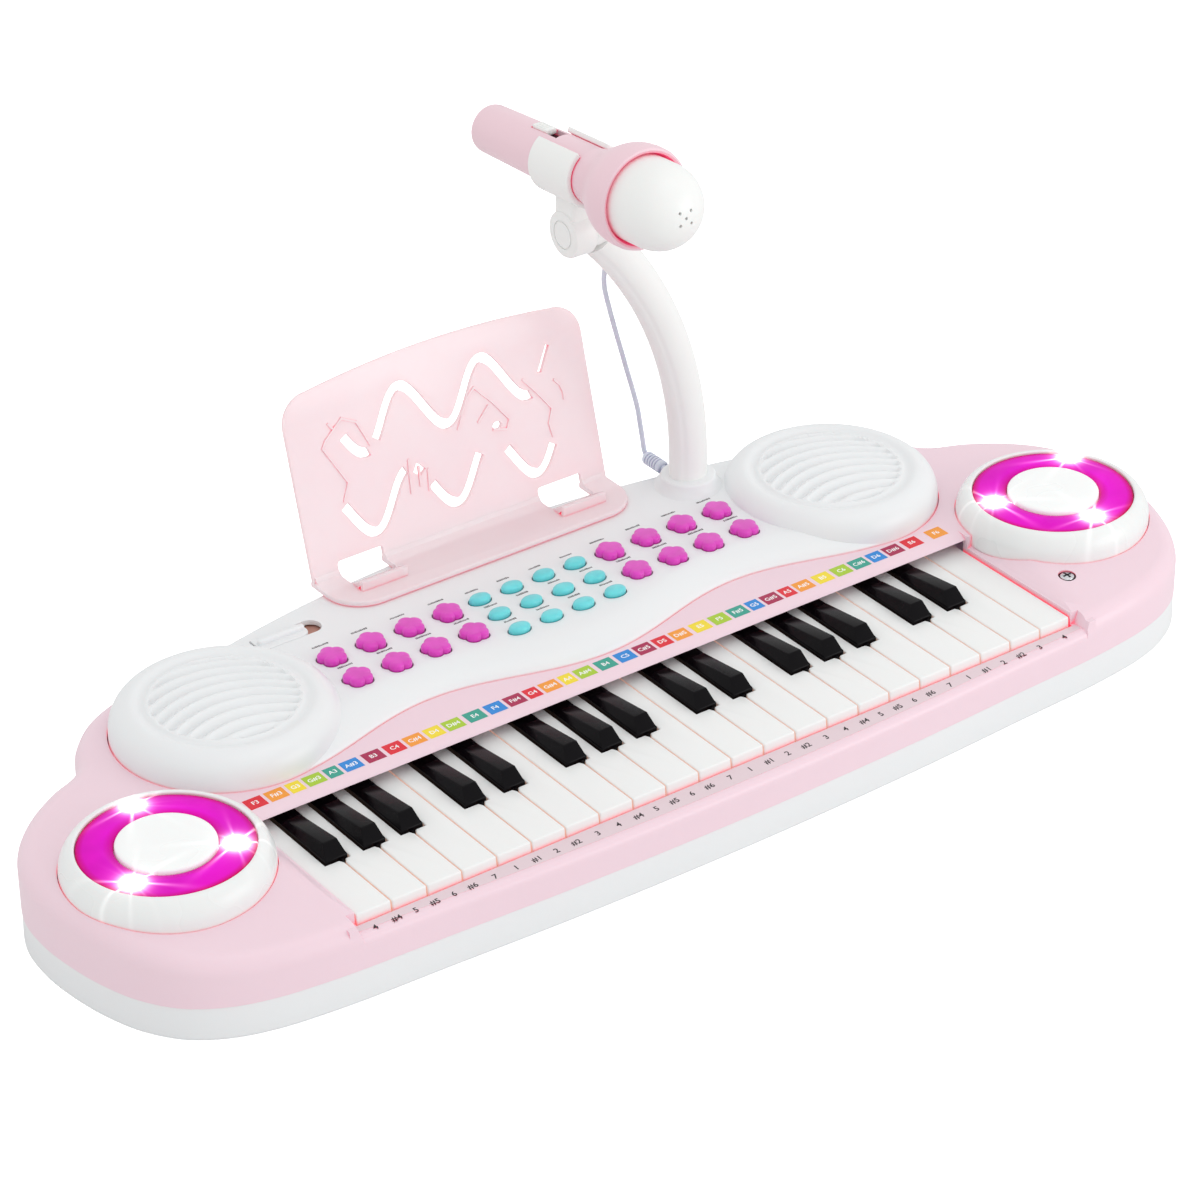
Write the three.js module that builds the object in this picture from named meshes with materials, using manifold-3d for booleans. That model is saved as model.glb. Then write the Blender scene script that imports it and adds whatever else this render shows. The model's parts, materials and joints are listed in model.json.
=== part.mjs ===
// Toy electronic keyboard with 37 keys, two drum pads, a music stand and a microphone on an arm.
// Millimetres. +X is the player's right, +Y the back, +Z up. The origin lies on the table plane,
// midway between the ends, straight below the front edge of the white keys' tops.
import * as THREE from 'three';
import { mergeVertices } from 'three/addons/utils/BufferGeometryUtils.js';
import Module from 'manifold-3d';

const wasm = await Module();
wasm.setup();

// ---------------------------------------------------------------- driving dimensions

// Keys
const PITCH = 18;              // white key to white key
const WHITE_COUNT = 22;        // F to F, three octaves and a key
const KEY_GAP = 0.8;
const KEY_TOP = 37.8;          // height of the white keys' tops above the table
const KEY_DEPTH = 10;          // how far a key reaches below the white tops
const KEY_WALL = 1.6;
const KEY_END_Y = 107;         // back end of every key
const HINGE_Y = 104;           // hinge line of every key
const FRONT_SLANT = 1;         // the key fronts lean out this far at the bottom
const BLACK_WIDTH = 11.2;
const BLACK_TOP_WIDTH = 7.2;
const BLACK_FRONT_Y = 38.7;
const BLACK_TOP_FRONT_Y = 43.7;
const BLACK_HIGH = 7.2;        // above the white tops, at the front
const BLACK_LOW = 3.2;         // above the white tops, where the key goes under the label rail
const BLACK_SIDE_GAP = 0.8;

// Casing
const WALL = 2.4;
const FIT = 0.2;               // gap between two fixed pieces
const PARTING_Z = 17.1;        // joint between the lower and the upper casing
const RAIL_Y = 73.8;           // front lip of the label rail, over the backs of the keys
const RAIL_LIP = 3.6;          // height of that lip above the white tops
const SHOULDER_FRONT = 2.7;    // casing top above the white tops, level with the key fronts
const SHOULDER_BACK = 8.1;     // casing top above the white tops, from the label rail back
const SHOULDER_BACK_Y = 50;
const CASE_EDGE = 9;           // rounding of the upper casing's edge
const STRIP_DROP = 4.4;        // the numbered strip lies this far below the white tops
const KEYBED_HALF = 198.6;
const OUTLINE_POINTS = 72;
const CASE_BACK_Z = KEY_TOP + SHOULDER_BACK;

// Right half of the casing's outline, from the middle of the front to the middle of the back
const HALF_OUTLINE = [
  [0, -17.1], [90, -15.5], [160, -12], [216, -8.8], [249, -3], [272, 8], [288.5, 28.8], [298, 60],
  [300.5, 88], [298, 106], [290.5, 122], [279.5, 135], [265, 146.5], [250, 154], [241, 159],
  [235.5, 168], [228.5, 179.5], [215, 191], [196, 199], [165, 203], [135, 206.5], [100, 211], [60, 213.5],
];
const OUTLINE_BACK_Y = 214.5;

// Control panel
const PANEL_TOP = 54;
const PANEL_FRONT_Y = 92.7;    // the panel's front edge in the middle and under the speakers
const PANEL_WAVE = 8.3;        // half the depth of the two waves in that edge
const PANEL_BACK_Y = 212;      // the panel's back edge in the middle
const PANEL_BACK_BOW = 0.00083;
const SPEAKER_X = 171.3;
const SPEAKER_Y = 144.6;
const DOME_R = 52.3;
const FLOWER_X = [46.1, 67.1, 88.2, 109.3];
const FLOWER_Y = [132.1, 153.4];
const FLOWER_R = 6.9;
const OVAL_X = [-27.5, -9.5, 8.5, 26.5];
const OVAL_Y = [122.6, 138.6, 154.4];
const OVAL_HALF = [5.2, 3.5];
const BUTTON_GAP = 0.6;
const BUTTON_PROUD = 3.2;
const MAT_Z = 48.2;            // underside of the rubber mats' webs
const MAT_WEB = 1.2;

// Drums
const DRUM_X = 247.2;
const DRUM_Y = 68.7;
const RIM_R = 46.3;
const LENS_R = 38.4;
const PAD_R = 21.6;
const LENS_TOP = 56.3;
const PAD_TOP = 58.1;

// Music stand
const STAND_X = 0.8;
const STAND_HALF = 84;
const STAND_HEIGHT = 94.7;
const STAND_TILT = 15;         // degrees back from upright
const TRAY_FRONT_Y = 179.3;
const TRAY_BACK_Y = 211;
const TRAY_TOP = 57;
const SHEET = 2.2;
const TAB_X = 57;              // middle of each hook and its window, from the middle of the stand
const TAB_Y = 184.5;
const WINDOW_HALF = 12.6;
const HOOK_RISE = 4.8;

// Microphone and its arm
const ARM_X = 114.9;
const ARM_Y = 183.6;
const ARM_BEND_R = 195;
const ARM_START_Z = 70;        // the arm is straight below this height
const ARM_SWEEP = 43;          // degrees
const ARM_HALF = [9.6, 8.6];
const SOCKET_R = 13.5;
const SOCKET_TUBE_R = 12.4;
const MIC_X = 50;              // upright plane the microphone lies in
const PIVOT_Z = 208.8;         // hinge line of the clip, above the arm's plane
const KNOB_R = 11.5;
const MIC_AXIS_RISE = 32.5;    // microphone's axis above the clip's hinge line
const MIC_TILT = 4.5;          // degrees nose up
const CLIP_HALF = 14.4;
const HANDLE_BACK = 66.5;      // from the middle of the clip back to the end of the handle
const HANDLE_R = [11.7, 13.1];
const COLLAR_R = 24.1;
const HEAD_R = 20.2;
const HEAD_CENTRE = 64.5;      // from the middle of the clip forward to the head's centre
const HANDLE_AT_CLIP = 12.7;
const RIM_AT = 52;             // collar's front rim, forward of the middle of the clip
const SWITCH_SLOT = [-28, -8];
const JACK = { x: 110.5, y: 197.4, z: 57.8 };

// Power slider in its slot
const SLOT = { x0: -131, x1: -97, y: 182.8, half: 5.5 };
const SLIDER_TRAVEL = 7;

// ---------------------------------------------------------------- materials

function plastic(colour, roughness, metalness = 0) {
  return new THREE.MeshStandardMaterial({ color: colour, roughness, metalness });
}

const PINK = plastic(0xf0dae2, 0.35);
const WHITE = plastic(0xecedef, 0.3);
const CLEAR_PINK = plastic(0xf5d3dc, 0.2);
const MAGENTA = plastic(0xeb14d2, 0.2);
const FLOWER_RUBBER = plastic(0xe846c8, 0.5);
const TEAL_RUBBER = plastic(0x64dce1, 0.5);
const IVORY = plastic(0xf2f2f0, 0.25);
const BLACK = plastic(0x101014, 0.15);
const CABLE = plastic(0xbebed7, 0.5);
const BOARD = plastic(0x2e6b45, 0.6);
const STEEL = plastic(0x9a9da3, 0.4, 0.8);

// ---------------------------------------------------------------- solids

// A closed solid from a closed geometry: corners are merged and empty triangles dropped.
function solid(geometry) {
  const plain = new THREE.BufferGeometry();
  plain.setAttribute('position', geometry.getAttribute('position'));
  plain.setIndex(geometry.index);
  const merged = mergeVertices(plain, 1e-4);
  const index = [];
  for (let i = 0; i < merged.index.count; i += 3) {
    const [a, b, c] = [0, 1, 2].map((k) => merged.index.getX(i + k));
    if (a !== b && b !== c && c !== a) index.push(a, b, c);
  }
  return new wasm.Manifold(new wasm.Mesh({
    numProp: 3,
    vertProperties: new Float32Array(merged.getAttribute('position').array),
    triVerts: new Uint32Array(index),
  }));
}

function surface(body) {
  const mesh = body.getMesh();
  const geometry = new THREE.BufferGeometry();
  geometry.setAttribute('position', new THREE.BufferAttribute(new Float32Array(mesh.vertProperties), 3));
  geometry.setIndex(new THREE.BufferAttribute(new Uint32Array(mesh.triVerts), 1));
  geometry.computeVertexNormals();
  return geometry;
}

function join(...bodies) {
  return bodies.reduce((all, body) => all.add(body));
}

function cut(body, ...tools) {
  return tools.reduce((left, tool) => left.subtract(tool), body);
}

function box(x0, x1, y0, y1, z0, z1) {
  const geometry = new THREE.BoxGeometry(x1 - x0, y1 - y0, z1 - z0);
  geometry.translate((x0 + x1) / 2, (y0 + y1) / 2, (z0 + z1) / 2);
  return solid(geometry);
}

// Upright cylinder between two heights.
function post(x, y, r, z0, z1, segments = 20, topR = r) {
  const geometry = new THREE.CylinderGeometry(topR, r, z1 - z0, segments);
  geometry.rotateX(Math.PI / 2);
  geometry.translate(x, y, (z0 + z1) / 2);
  return solid(geometry);
}

// Cylinder along X between two positions.
function barX(x0, x1, y, z, r, segments = 24) {
  const geometry = new THREE.CylinderGeometry(r, r, x1 - x0, segments);
  geometry.rotateZ(Math.PI / 2);
  geometry.translate((x0 + x1) / 2, y, z);
  return solid(geometry);
}

// Cylinder along Y between two positions.
function barY(x, y0, y1, z, r, segments = 24) {
  const geometry = new THREE.CylinderGeometry(r, r, y1 - y0, segments);
  geometry.translate(x, (y0 + y1) / 2, z);
  return solid(geometry);
}

// Prism over an outline of [x, y] points.
function prism(points, z0, z1) {
  const shape = new THREE.Shape(points.map(([x, y]) => new THREE.Vector2(x, y)));
  const geometry = new THREE.ExtrudeGeometry(shape, { depth: z1 - z0, bevelEnabled: false });
  geometry.translate(0, 0, z0);
  return solid(geometry);
}

// Turned solid about an upright axis, from a profile of [radius, height] points.
function turned(profile, segments) {
  const points = profile.map(([r, z]) => new THREE.Vector2(r, z));
  if (THREE.ShapeUtils.area(points) < 0) points.reverse();
  const geometry = new THREE.LatheGeometry(points, segments);
  geometry.rotateX(Math.PI / 2);
  return solid(geometry);
}

// Solid through level rings of the same number of [x, y, z] points, counter-clockwise from above.
function loft(rings) {
  const count = rings[0].length;
  const positions = rings.flat(2);
  const index = [];
  for (let r = 0; r < rings.length - 1; r += 1) {
    for (let i = 0; i < count; i += 1) {
      const a = r * count + i;
      const b = r * count + (i + 1) % count;
      index.push(a, b, b + count, a, b + count, a + count);
    }
  }
  const flat = (ring) => ring.map(([x, y]) => new THREE.Vector2(x, y));
  const top = (rings.length - 1) * count;
  for (const [a, b, c] of THREE.ShapeUtils.triangulateShape(flat(rings[0]), [])) index.push(c, b, a);
  for (const [a, b, c] of THREE.ShapeUtils.triangulateShape(flat(rings.at(-1)), [])) {
    index.push(top + a, top + b, top + c);
  }
  const geometry = new THREE.BufferGeometry();
  geometry.setAttribute('position', new THREE.BufferAttribute(new Float32Array(positions), 3));
  geometry.setIndex(index);
  return solid(geometry);
}

function mirroredX(body) {
  return body.mirror([1, 0, 0]);
}

function node(name, body, material) {
  const mesh = new THREE.Mesh(surface(body), material);
  mesh.name = name;
  return mesh;
}

// ---------------------------------------------------------------- casing

const OUTLINE = (() => {
  const right = HALF_OUTLINE.map(([x, y]) => new THREE.Vector3(x, y, 0));
  const back = new THREE.Vector3(0, OUTLINE_BACK_Y, 0);
  const left = right.slice(1).reverse().map((p) => new THREE.Vector3(-p.x, p.y, 0));
  const curve = new THREE.CatmullRomCurve3([...right, back, ...left], true, 'centripetal');
  return curve.getSpacedPoints(OUTLINE_POINTS).slice(0, -1).map((p) => [p.x, p.y]);
})();

// The outline moved inwards.
function inset(points, distance) {
  return points.map(([x, y], i) => {
    const before = points.at(i - 1);
    const after = points[(i + 1) % points.length];
    const along = new THREE.Vector2(after[0] - before[0], after[1] - before[1]).normalize();
    return [x - along.y * distance, y + along.x * distance];
  });
}

// Height of the upper casing's top at a distance y from the key fronts.
function shoulder(y) {
  const t = Math.min(y / SHOULDER_BACK_Y, 1);
  return KEY_TOP + SHOULDER_FRONT + (SHOULDER_BACK - SHOULDER_FRONT) * t;
}

// Upper casing's outside, or its hollow when it is thinner by a wall.
function upperForm(wall, floorZ, steps) {
  const radius = CASE_EDGE - wall;
  const rings = [inset(OUTLINE, wall).map(([x, y]) => [x, y, floorZ])];
  for (let k = 0; k <= steps; k += 1) {
    const angle = (k / steps) * (Math.PI / 2);
    const inwards = wall + radius * (1 - Math.cos(angle));
    const drop = wall + radius * (1 - Math.sin(angle));
    const ring = inset(OUTLINE, inwards);
    rings.push(ring.map(([x, y], i) => [x, y, shoulder(OUTLINE[i][1]) - drop]));
  }
  return loft(rings);
}

function panelOutline(insetFront, insetBack, half = SPEAKER_X) {
  const points = [];
  const steps = 24;
  for (let i = 0; i <= steps; i += 1) {
    const x = -half + (2 * half * i) / steps;
    const wave = PANEL_WAVE * (1 - Math.cos((2 * Math.PI * x) / SPEAKER_X));
    points.push([x, PANEL_FRONT_Y + wave + insetFront]);
  }
  for (let i = 0; i <= 8; i += 1) {
    const x = half - (half * i) / 4;
    points.push([x, PANEL_BACK_Y - PANEL_BACK_BOW * x * x - insetBack]);
  }
  return points;
}

function topCase() {
  const outer = upperForm(0, PARTING_Z + FIT, 4);
  const hollow = upperForm(WALL, PARTING_Z - 1, 2);
  const stripZ = KEY_TOP - STRIP_DROP;
  const sideWall = box(KEYBED_HALF, KEYBED_HALF + WALL, -3, RAIL_Y, 24, 60);
  const frame = join(
    box(-KEYBED_HALF - WALL, KEYBED_HALF + WALL, -30, -1.6, PARTING_Z + FIT, stripZ),
    sideWall,
    mirroredX(sideWall),
  ).intersect(outer);
  const lip = box(
    -KEYBED_HALF - 1, KEYBED_HALF + 1, RAIL_Y, RAIL_Y + WALL, KEY_TOP + RAIL_LIP, 44.5);
  const railNose = prismX([
    [RAIL_Y - 1, 50], [RAIL_Y - 1, 41], [RAIL_Y, 43], [RAIL_Y + 5, 46.4],
  ], KEYBED_HALF);
  return cut(
    join(cut(outer, hollow), frame, lip),
    box(-KEYBED_HALF, KEYBED_HALF, -1.6, RAIL_Y, 10, 60),
    box(-KEYBED_HALF - WALL, KEYBED_HALF + WALL, -30, -1.6, stripZ, 60),
    prism(panelOutline(7, 8, SPEAKER_X - 10), 30, 60),
    post(SPEAKER_X, SPEAKER_Y, DOME_R - 6, 30, 60, 24),
    post(-SPEAKER_X, SPEAKER_Y, DOME_R - 6, 30, 60, 24),
    post(DRUM_X, DRUM_Y, RIM_R + 0.9, 30, 60, 28),
    post(-DRUM_X, DRUM_Y, RIM_R + 0.9, 30, 60, 28),
    post(ARM_X, ARM_Y, SOCKET_TUBE_R + 0.9, 26, 60, 16),
    railNose,
  );
}

// Prism along X over a profile of [y, z] points.
function prismX(profile, half) {
  const shape = new THREE.Shape(profile.map(([y, z]) => new THREE.Vector2(y, z)));
  const geometry = new THREE.ExtrudeGeometry(shape, { depth: 2 * half, bevelEnabled: false });
  geometry.rotateX(Math.PI / 2);
  geometry.rotateZ(Math.PI / 2);
  geometry.translate(-half, 0, 0);
  return solid(geometry);
}

const BATTERY = { x: 50, y0: 112, y1: 180, height: 18, wall: 2.4 };

function bottomCase() {
  const levels = [[0, 2], [0.8, 0.6], [2.5, 0], [PARTING_Z, 0.3]];
  const outer = loft(levels.map(([z, d]) => inset(OUTLINE, d).map(([x, y]) => [x, y, z])));
  const hollow = loft([[WALL, 5], [PARTING_Z + 1, 2.8]]
    .map(([z, d]) => inset(OUTLINE, d).map(([x, y]) => [x, y, z])));
  const { x, y0, y1, height, wall } = BATTERY;
  return cut(
    join(
      cut(outer, hollow),
      box(-x, x, y0, y1, WALL - 1, height),
      box(-KEYBED_HALF, KEYBED_HALF, HINGE_Y - 3, HINGE_Y, WALL - 1, KEY_TOP - KEY_DEPTH - 0.8),
    ),
    box(-x + wall, x - wall, y0 + wall, y1 - wall, -1, height - wall),
  );
}

function batteryCover() {
  const { x, y0, y1, wall } = BATTERY;
  const side = wall + 0.3;
  return join(
    box(-x + side, x - side, y0 + side, y1 - side, 0.4, 2.6),
    box(-8, 8, y1 - side - 1.6, y1 - side, 2, 7),
    box(-x + side + 4, x - side - 4, y0 + side, y0 + side + 1.6, 2, 6),
  );
}

// ---------------------------------------------------------------- control panel and buttons

// Outline of a five-petalled button.
function flower(cx, cy, radius) {
  const points = [];
  const count = 20;
  for (let i = 0; i < count; i += 1) {
    const a = (2 * Math.PI * i) / count;
    const r = radius * (0.9 + 0.1 * Math.cos(5 * (a - Math.PI / 2)));
    points.push([cx + r * Math.cos(a), cy + r * Math.sin(a)]);
  }
  return points;
}

function oval(cx, cy, halfX, halfY, count = 12) {
  return Array.from({ length: count }, (_, i) => {
    const a = (2 * Math.PI * i) / count;
    return [cx + halfX * Math.cos(a), cy + halfY * Math.sin(a)];
  });
}

const FLOWER_PLACES = FLOWER_Y.flatMap((y) => FLOWER_X.flatMap((x) => [[x, y], [-x, y]]));
const OVAL_PLACES = OVAL_Y.flatMap((y) => OVAL_X.map((x) => [x, y]));

function panelForm(wall) {
  const levels = [[46.1, 0, 5], [48, 1.2, 3], [50.6, 5, 0.8], [52.8, 10, 0], [PANEL_TOP, 16, 1.6]];
  return loft(levels.map(([z, front, back], i) => {
    const height = wall && i === 0 ? 40 : z - wall;
    return panelOutline(front + wall, back + wall).map(([x, y]) => [x, y, height]);
  }));
}

const DOME_PROFILE = [
  [DOME_R, 46.1], [DOME_R - 0.1, 50], [51.2, 54], [49.2, 57.4], [46.4, 59.9], [43.2, 61.4], [41.6, 61.4],
  [40.6, 60.6], [39, 61.2], [30, 62.4], [16, 63.3],
];
const DOME_TOP = 63.6;

function domeForm(wall) {
  const rise = DOME_TOP - wall;
  const side = wall
    ? [[0, 40], [DOME_R - wall, 40], [DOME_R - wall, 50], [46, 55.8], [36, 58.6]]
    : [[0, DOME_PROFILE[0][1]], ...DOME_PROFILE];
  return turned([...side, [0, rise]], wall ? 20 : 32).translate([SPEAKER_X, SPEAKER_Y, 0]);
}

const BOARD_POSTS = [[-120, 143], [120, 143], [-38.5, 168], [38.5, 168]];
const BOARD_TOP = 45.9;

function controlPanel() {
  const dome = domeForm(0);
  const domeHollow = domeForm(WALL);
  const ring = cut(
    post(SPEAKER_X, SPEAKER_Y, 36, 54.2, 60, 20),
    post(SPEAKER_X, SPEAKER_Y, 31, 50, 62.6, 20),
  );
  const outer = join(panelForm(0), dome, mirroredX(dome));
  const shell = cut(outer, panelForm(WALL), domeHollow, mirroredX(domeHollow));
  const socket = join(
    post(ARM_X, ARM_Y, SOCKET_R, PANEL_TOP - 2, PANEL_TOP + 5, 20, SOCKET_R - 1.2),
    post(ARM_X, ARM_Y, SOCKET_TUBE_R, 28, PANEL_TOP - 1, 16),
    barY(JACK.x, ARM_Y, JACK.y, JACK.z, 3.8, 12),
  );
  const posts = BOARD_POSTS.map(([x, y]) => post(x, y, 2.6, BOARD_TOP + 0.3, PANEL_TOP - 1, 10));
  const holes = [
    ...FLOWER_PLACES.map(([x, y]) => post(
      x, y, (FLOWER_R + BUTTON_GAP) / Math.cos(Math.PI / 10), 50, 56, 10)),
    ...OVAL_PLACES.map(([x, y]) => prism(
      oval(x, y, OVAL_HALF[0] + 2 * BUTTON_GAP, OVAL_HALF[1] + 2 * BUTTON_GAP, 8), 50, 56)),
    ...[-TAB_X, TAB_X].map((x) => box(
      STAND_X + x - 9, STAND_X + x + 9, TAB_Y - 1.7, TAB_Y + 1.7, 50, 56)),
  ];
  return cut(
    join(shell, ring, mirroredX(ring), socket, ...posts),
    prism(oval(ARM_X, ARM_Y, ARM_HALF[0] + 0.4, ARM_HALF[1] + 0.4, 12), 20, 70),
    barY(JACK.x, ARM_Y, JACK.y + 1, JACK.z, 2, 10),
    box(SLOT.x0, SLOT.x1, SLOT.y - SLOT.half, SLOT.y + SLOT.half, 50, 56),
    ...holes,
  );
}

// Each rubber mat is a web below the panel with its caps standing through the panel's holes.
function flowerMat() {
  const [edge, inner] = [117, 42];
  const block = box(inner, edge, 122, 164, MAT_Z, MAT_Z + MAT_WEB);
  const web = join(block, mirroredX(block), box(-edge, edge, 163, 165, MAT_Z, MAT_Z + MAT_WEB));
  return join(web, ...FLOWER_PLACES.map(([x, y]) => prism(
    flower(x, y, FLOWER_R), MAT_Z + 0.5, PANEL_TOP + BUTTON_PROUD)));
}

function instrumentMat() {
  const web = box(-38, 38, 115.5, 162, MAT_Z, MAT_Z + MAT_WEB);
  return join(web, ...OVAL_PLACES.map(([x, y]) => prism(
    oval(x, y, ...OVAL_HALF), MAT_Z + 0.5, PANEL_TOP + BUTTON_PROUD)));
}

function powerSlider() {
  const { x0, x1, y, half } = SLOT;
  const knobEnd = x1 - SLIDER_TRAVEL - 0.5;
  return join(
    box(x0 + 1, knobEnd, y - half + 0.4, y + half - 0.4, 50, 56.8),
    box(x0 - 4, knobEnd + 5, y - half - 2, y + half + 2, 48.6, 51),
  );
}

function mainBoard() {
  const plate = box(-122, 122, 118, 170.4, BOARD_TOP - 1.6, BOARD_TOP);
  return join(
    plate,
    box(-16, 16, 128, 146, BOARD_TOP - 5.5, BOARD_TOP - 1),
    box(52, 66, 140, 150, BOARD_TOP - 4, BOARD_TOP - 1),
    box(-80, -58, 150, 158, BOARD_TOP - 9, BOARD_TOP - 1),
  );
}

function speaker(side) {
  return turned([
    [0, 24], [14, 24], [14, 33], [18, 34], [30, 50], [34.5, 50], [34.5, 53.9], [31, 53.9], [29, 52.6],
    [12, 43], [7, 45], [0, 45.8],
  ], 18).translate([side * SPEAKER_X, SPEAKER_Y, 0]);
}

// ---------------------------------------------------------------- drums

function drumRim(side) {
  return turned([
    [LENS_R + 0.3, LENS_TOP - 4.3], [LENS_R + 0.3, 56.5], [39.5, 56.9], [42.3, 55], [44.6, 51.5],
    [RIM_R, 46.8],
    [RIM_R, 37], [RIM_R - 2, 37], [RIM_R - 2, 46.3], [42.5, 50], [36, 50], [36, 51.8],
    [LENS_R + 0.3, LENS_TOP - 4.3],
  ], 28).translate([side * DRUM_X, DRUM_Y, 0]);
}

function drumLens(side) {
  return turned([
    [PAD_R + 0.5, 52.3], [LENS_R, 52.3], [LENS_R, LENS_TOP - 0.4], [35, LENS_TOP], [26, LENS_TOP + 0.5],
    [PAD_R + 0.5, LENS_TOP], [PAD_R + 0.5, 52.3],
  ], 28).translate([side * DRUM_X, DRUM_Y, 0]);
}

function drumPad(side) {
  return turned([
    [0, 49], [PAD_R + 3, 49], [PAD_R + 3, 50.4], [PAD_R, 50.4], [PAD_R, PAD_TOP - 1],
    [PAD_R - 2, PAD_TOP - 0.2], [0, PAD_TOP + 0.6],
  ], 24).translate([side * DRUM_X, DRUM_Y, 0]);
}

// ---------------------------------------------------------------- keys

// Black keys of an octave from F, each with its shift off the line between its white neighbours.
const OCTAVE = [
  { boundary: 1, shift: -0.12 }, { boundary: 2, shift: -0.04 }, { boundary: 3, shift: 0.03 },
  { boundary: 5, shift: -0.12 }, { boundary: 6, shift: 0.03 },
];
const KEYS_LEFT = (-WHITE_COUNT * PITCH) / 2;
const BLACK_CENTRES = [0, 7, 14].flatMap((start) => OCTAVE.map(
  ({ boundary, shift }) => KEYS_LEFT + PITCH * (start + boundary + shift)));

function whiteKey(number) {
  const left = KEYS_LEFT + PITCH * number + KEY_GAP / 2;
  const right = left + PITCH - KEY_GAP;
  const reach = BLACK_WIDTH / 2 + BLACK_SIDE_GAP;
  const notchY = BLACK_FRONT_Y - BLACK_SIDE_GAP;
  const leftBlack = BLACK_CENTRES.find((c) => c - reach < left && c + reach > left);
  const rightBlack = BLACK_CENTRES.find((c) => c - reach < right && c + reach > right);
  const backLeft = leftBlack === undefined ? left : leftBlack + reach;
  const backRight = rightBlack === undefined ? right : rightBlack - reach;
  const outline = (front) => {
    const points = [[left, front], [right, front]];
    if (backRight !== right) points.push([right, notchY], [backRight, notchY]);
    points.push([backRight, KEY_END_Y], [backLeft, KEY_END_Y]);
    if (backLeft !== left) points.push([backLeft, notchY], [left, notchY]);
    return points;
  };
  const low = KEY_TOP - KEY_DEPTH;
  const body = loft([
    outline(-FRONT_SLANT).map(([x, y]) => [x, y, low]),
    outline(0).map(([x, y]) => [x, y, KEY_TOP]),
  ]);
  const w = KEY_WALL;
  return cut(
    body,
    box(left + w, right - w, w, notchY - w, low - 1, KEY_TOP - w),
    box(backLeft + w, backRight - w, notchY - w - 1, HINGE_Y - 6, low - 1, KEY_TOP - w),
  );
}

function blackKey(number) {
  const x = BLACK_CENTRES[number];
  const [half, topHalf] = [BLACK_WIDTH / 2, BLACK_TOP_WIDTH / 2];
  const low = KEY_TOP - KEY_DEPTH;
  const ring = (h, front, back, zFront, zBack) => [
    [x - h, front, zFront], [x + h, front, zFront], [x + h, back, zBack], [x - h, back, zBack],
  ];
  const capBack = RAIL_Y - 0.4;
  const cap = loft([
    ring(half, BLACK_FRONT_Y, capBack, low, low),
    ring(half, BLACK_FRONT_Y, capBack, KEY_TOP, KEY_TOP),
    ring(topHalf, BLACK_TOP_FRONT_Y, capBack, KEY_TOP + BLACK_HIGH, KEY_TOP + BLACK_LOW),
  ]);
  return cut(
    join(cap, box(x - half, x + half, capBack - 1, KEY_END_Y, low, KEY_TOP + 1)),
    box(
      x - half + KEY_WALL, x + half - KEY_WALL,
      BLACK_FRONT_Y + KEY_WALL, HINGE_Y - 6, low - 1, KEY_TOP - 0.6),
  );
}

// ---------------------------------------------------------------- music stand

// Slot of even width along a cosine wave, drawn flat on the sheet: x across, y up the sheet.
function waveSlot(x0, x1, { middle, amplitude, period, peak }, half) {
  const steps = Math.max(4, Math.round((x1 - x0) / 4.5));
  const sides = [[], []];
  for (let i = 0; i <= steps; i += 1) {
    const x = x0 + ((x1 - x0) * i) / steps;
    const angle = (2 * Math.PI * (x - peak)) / period;
    const y = middle + amplitude * Math.cos(angle);
    const slope = (-amplitude * 2 * Math.PI * Math.sin(angle)) / period;
    const length = Math.hypot(1, slope);
    sides[0].push([x + (slope / length) * half, y - half / length]);
    sides[1].push([x - (slope / length) * half, y + half / length]);
  }
  return [...sides[0], ...sides[1].reverse()];
}

const UPPER_WAVE = { middle: 65.5, amplitude: 12.8, period: 46, peak: -20.5 };
const LOWER_WAVE = { middle: 26.5, amplitude: 12.3, period: 46, peak: -22.5 };

function standSheet() {
  const shape = new THREE.Shape();
  const [w, h, r, bow] = [STAND_HALF, STAND_HEIGHT, 15, 4.6];
  shape.moveTo(-w, 0);
  shape.lineTo(w, 0);
  shape.lineTo(w, h - bow - r);
  shape.quadraticCurveTo(w, h - bow, w - r, h - bow + 1);
  shape.quadraticCurveTo(0, h + bow - 1, -w + r, h - bow + 1);
  shape.quadraticCurveTo(-w, h - bow, -w, h - bow - r);
  const holes = [
    waveSlot(-37, 50, UPPER_WAVE, 2.7),
    waveSlot(-54, -42, UPPER_WAVE, 2.7),
    waveSlot(-60, 16.5, LOWER_WAVE, 2.7),
    waveSlot(32, 57.5, LOWER_WAVE, 2.7),
  ];
  for (const points of holes) {
    shape.holes.push(new THREE.Path(points.map(([x, y]) => new THREE.Vector2(x, y))));
  }
  const geometry = new THREE.ExtrudeGeometry(shape, { depth: SHEET, bevelEnabled: false, curveSegments: 8 });
  return solid(geometry).rotate([90 - STAND_TILT, 0, 0]).translate([STAND_X, TRAY_BACK_Y, TRAY_TOP - 1.4]);
}

// Hook behind a window of the stand: a ramp that rises to a lip at its front.
function standHook(x) {
  const [front, back, top] = [TRAY_FRONT_Y + 10.2, 198, TRAY_TOP];
  const ramp = prismX([
    [front, top - 1], [front, top + HOOK_RISE], [front + 1.8, top + HOOK_RISE], [back, top + 0.6],
    [back, top - 1], [back - 4, top - 1], [front + 1.6, top + HOOK_RISE - 2], [front + 1.6, top - 1],
  ], WINDOW_HALF);
  return join(
    ramp.translate([x, 0, 0]),
    box(x - 8, x + 8, TAB_Y - 1.1, TAB_Y + 1.1, 46, TRAY_TOP - 1),
  );
}

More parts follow.
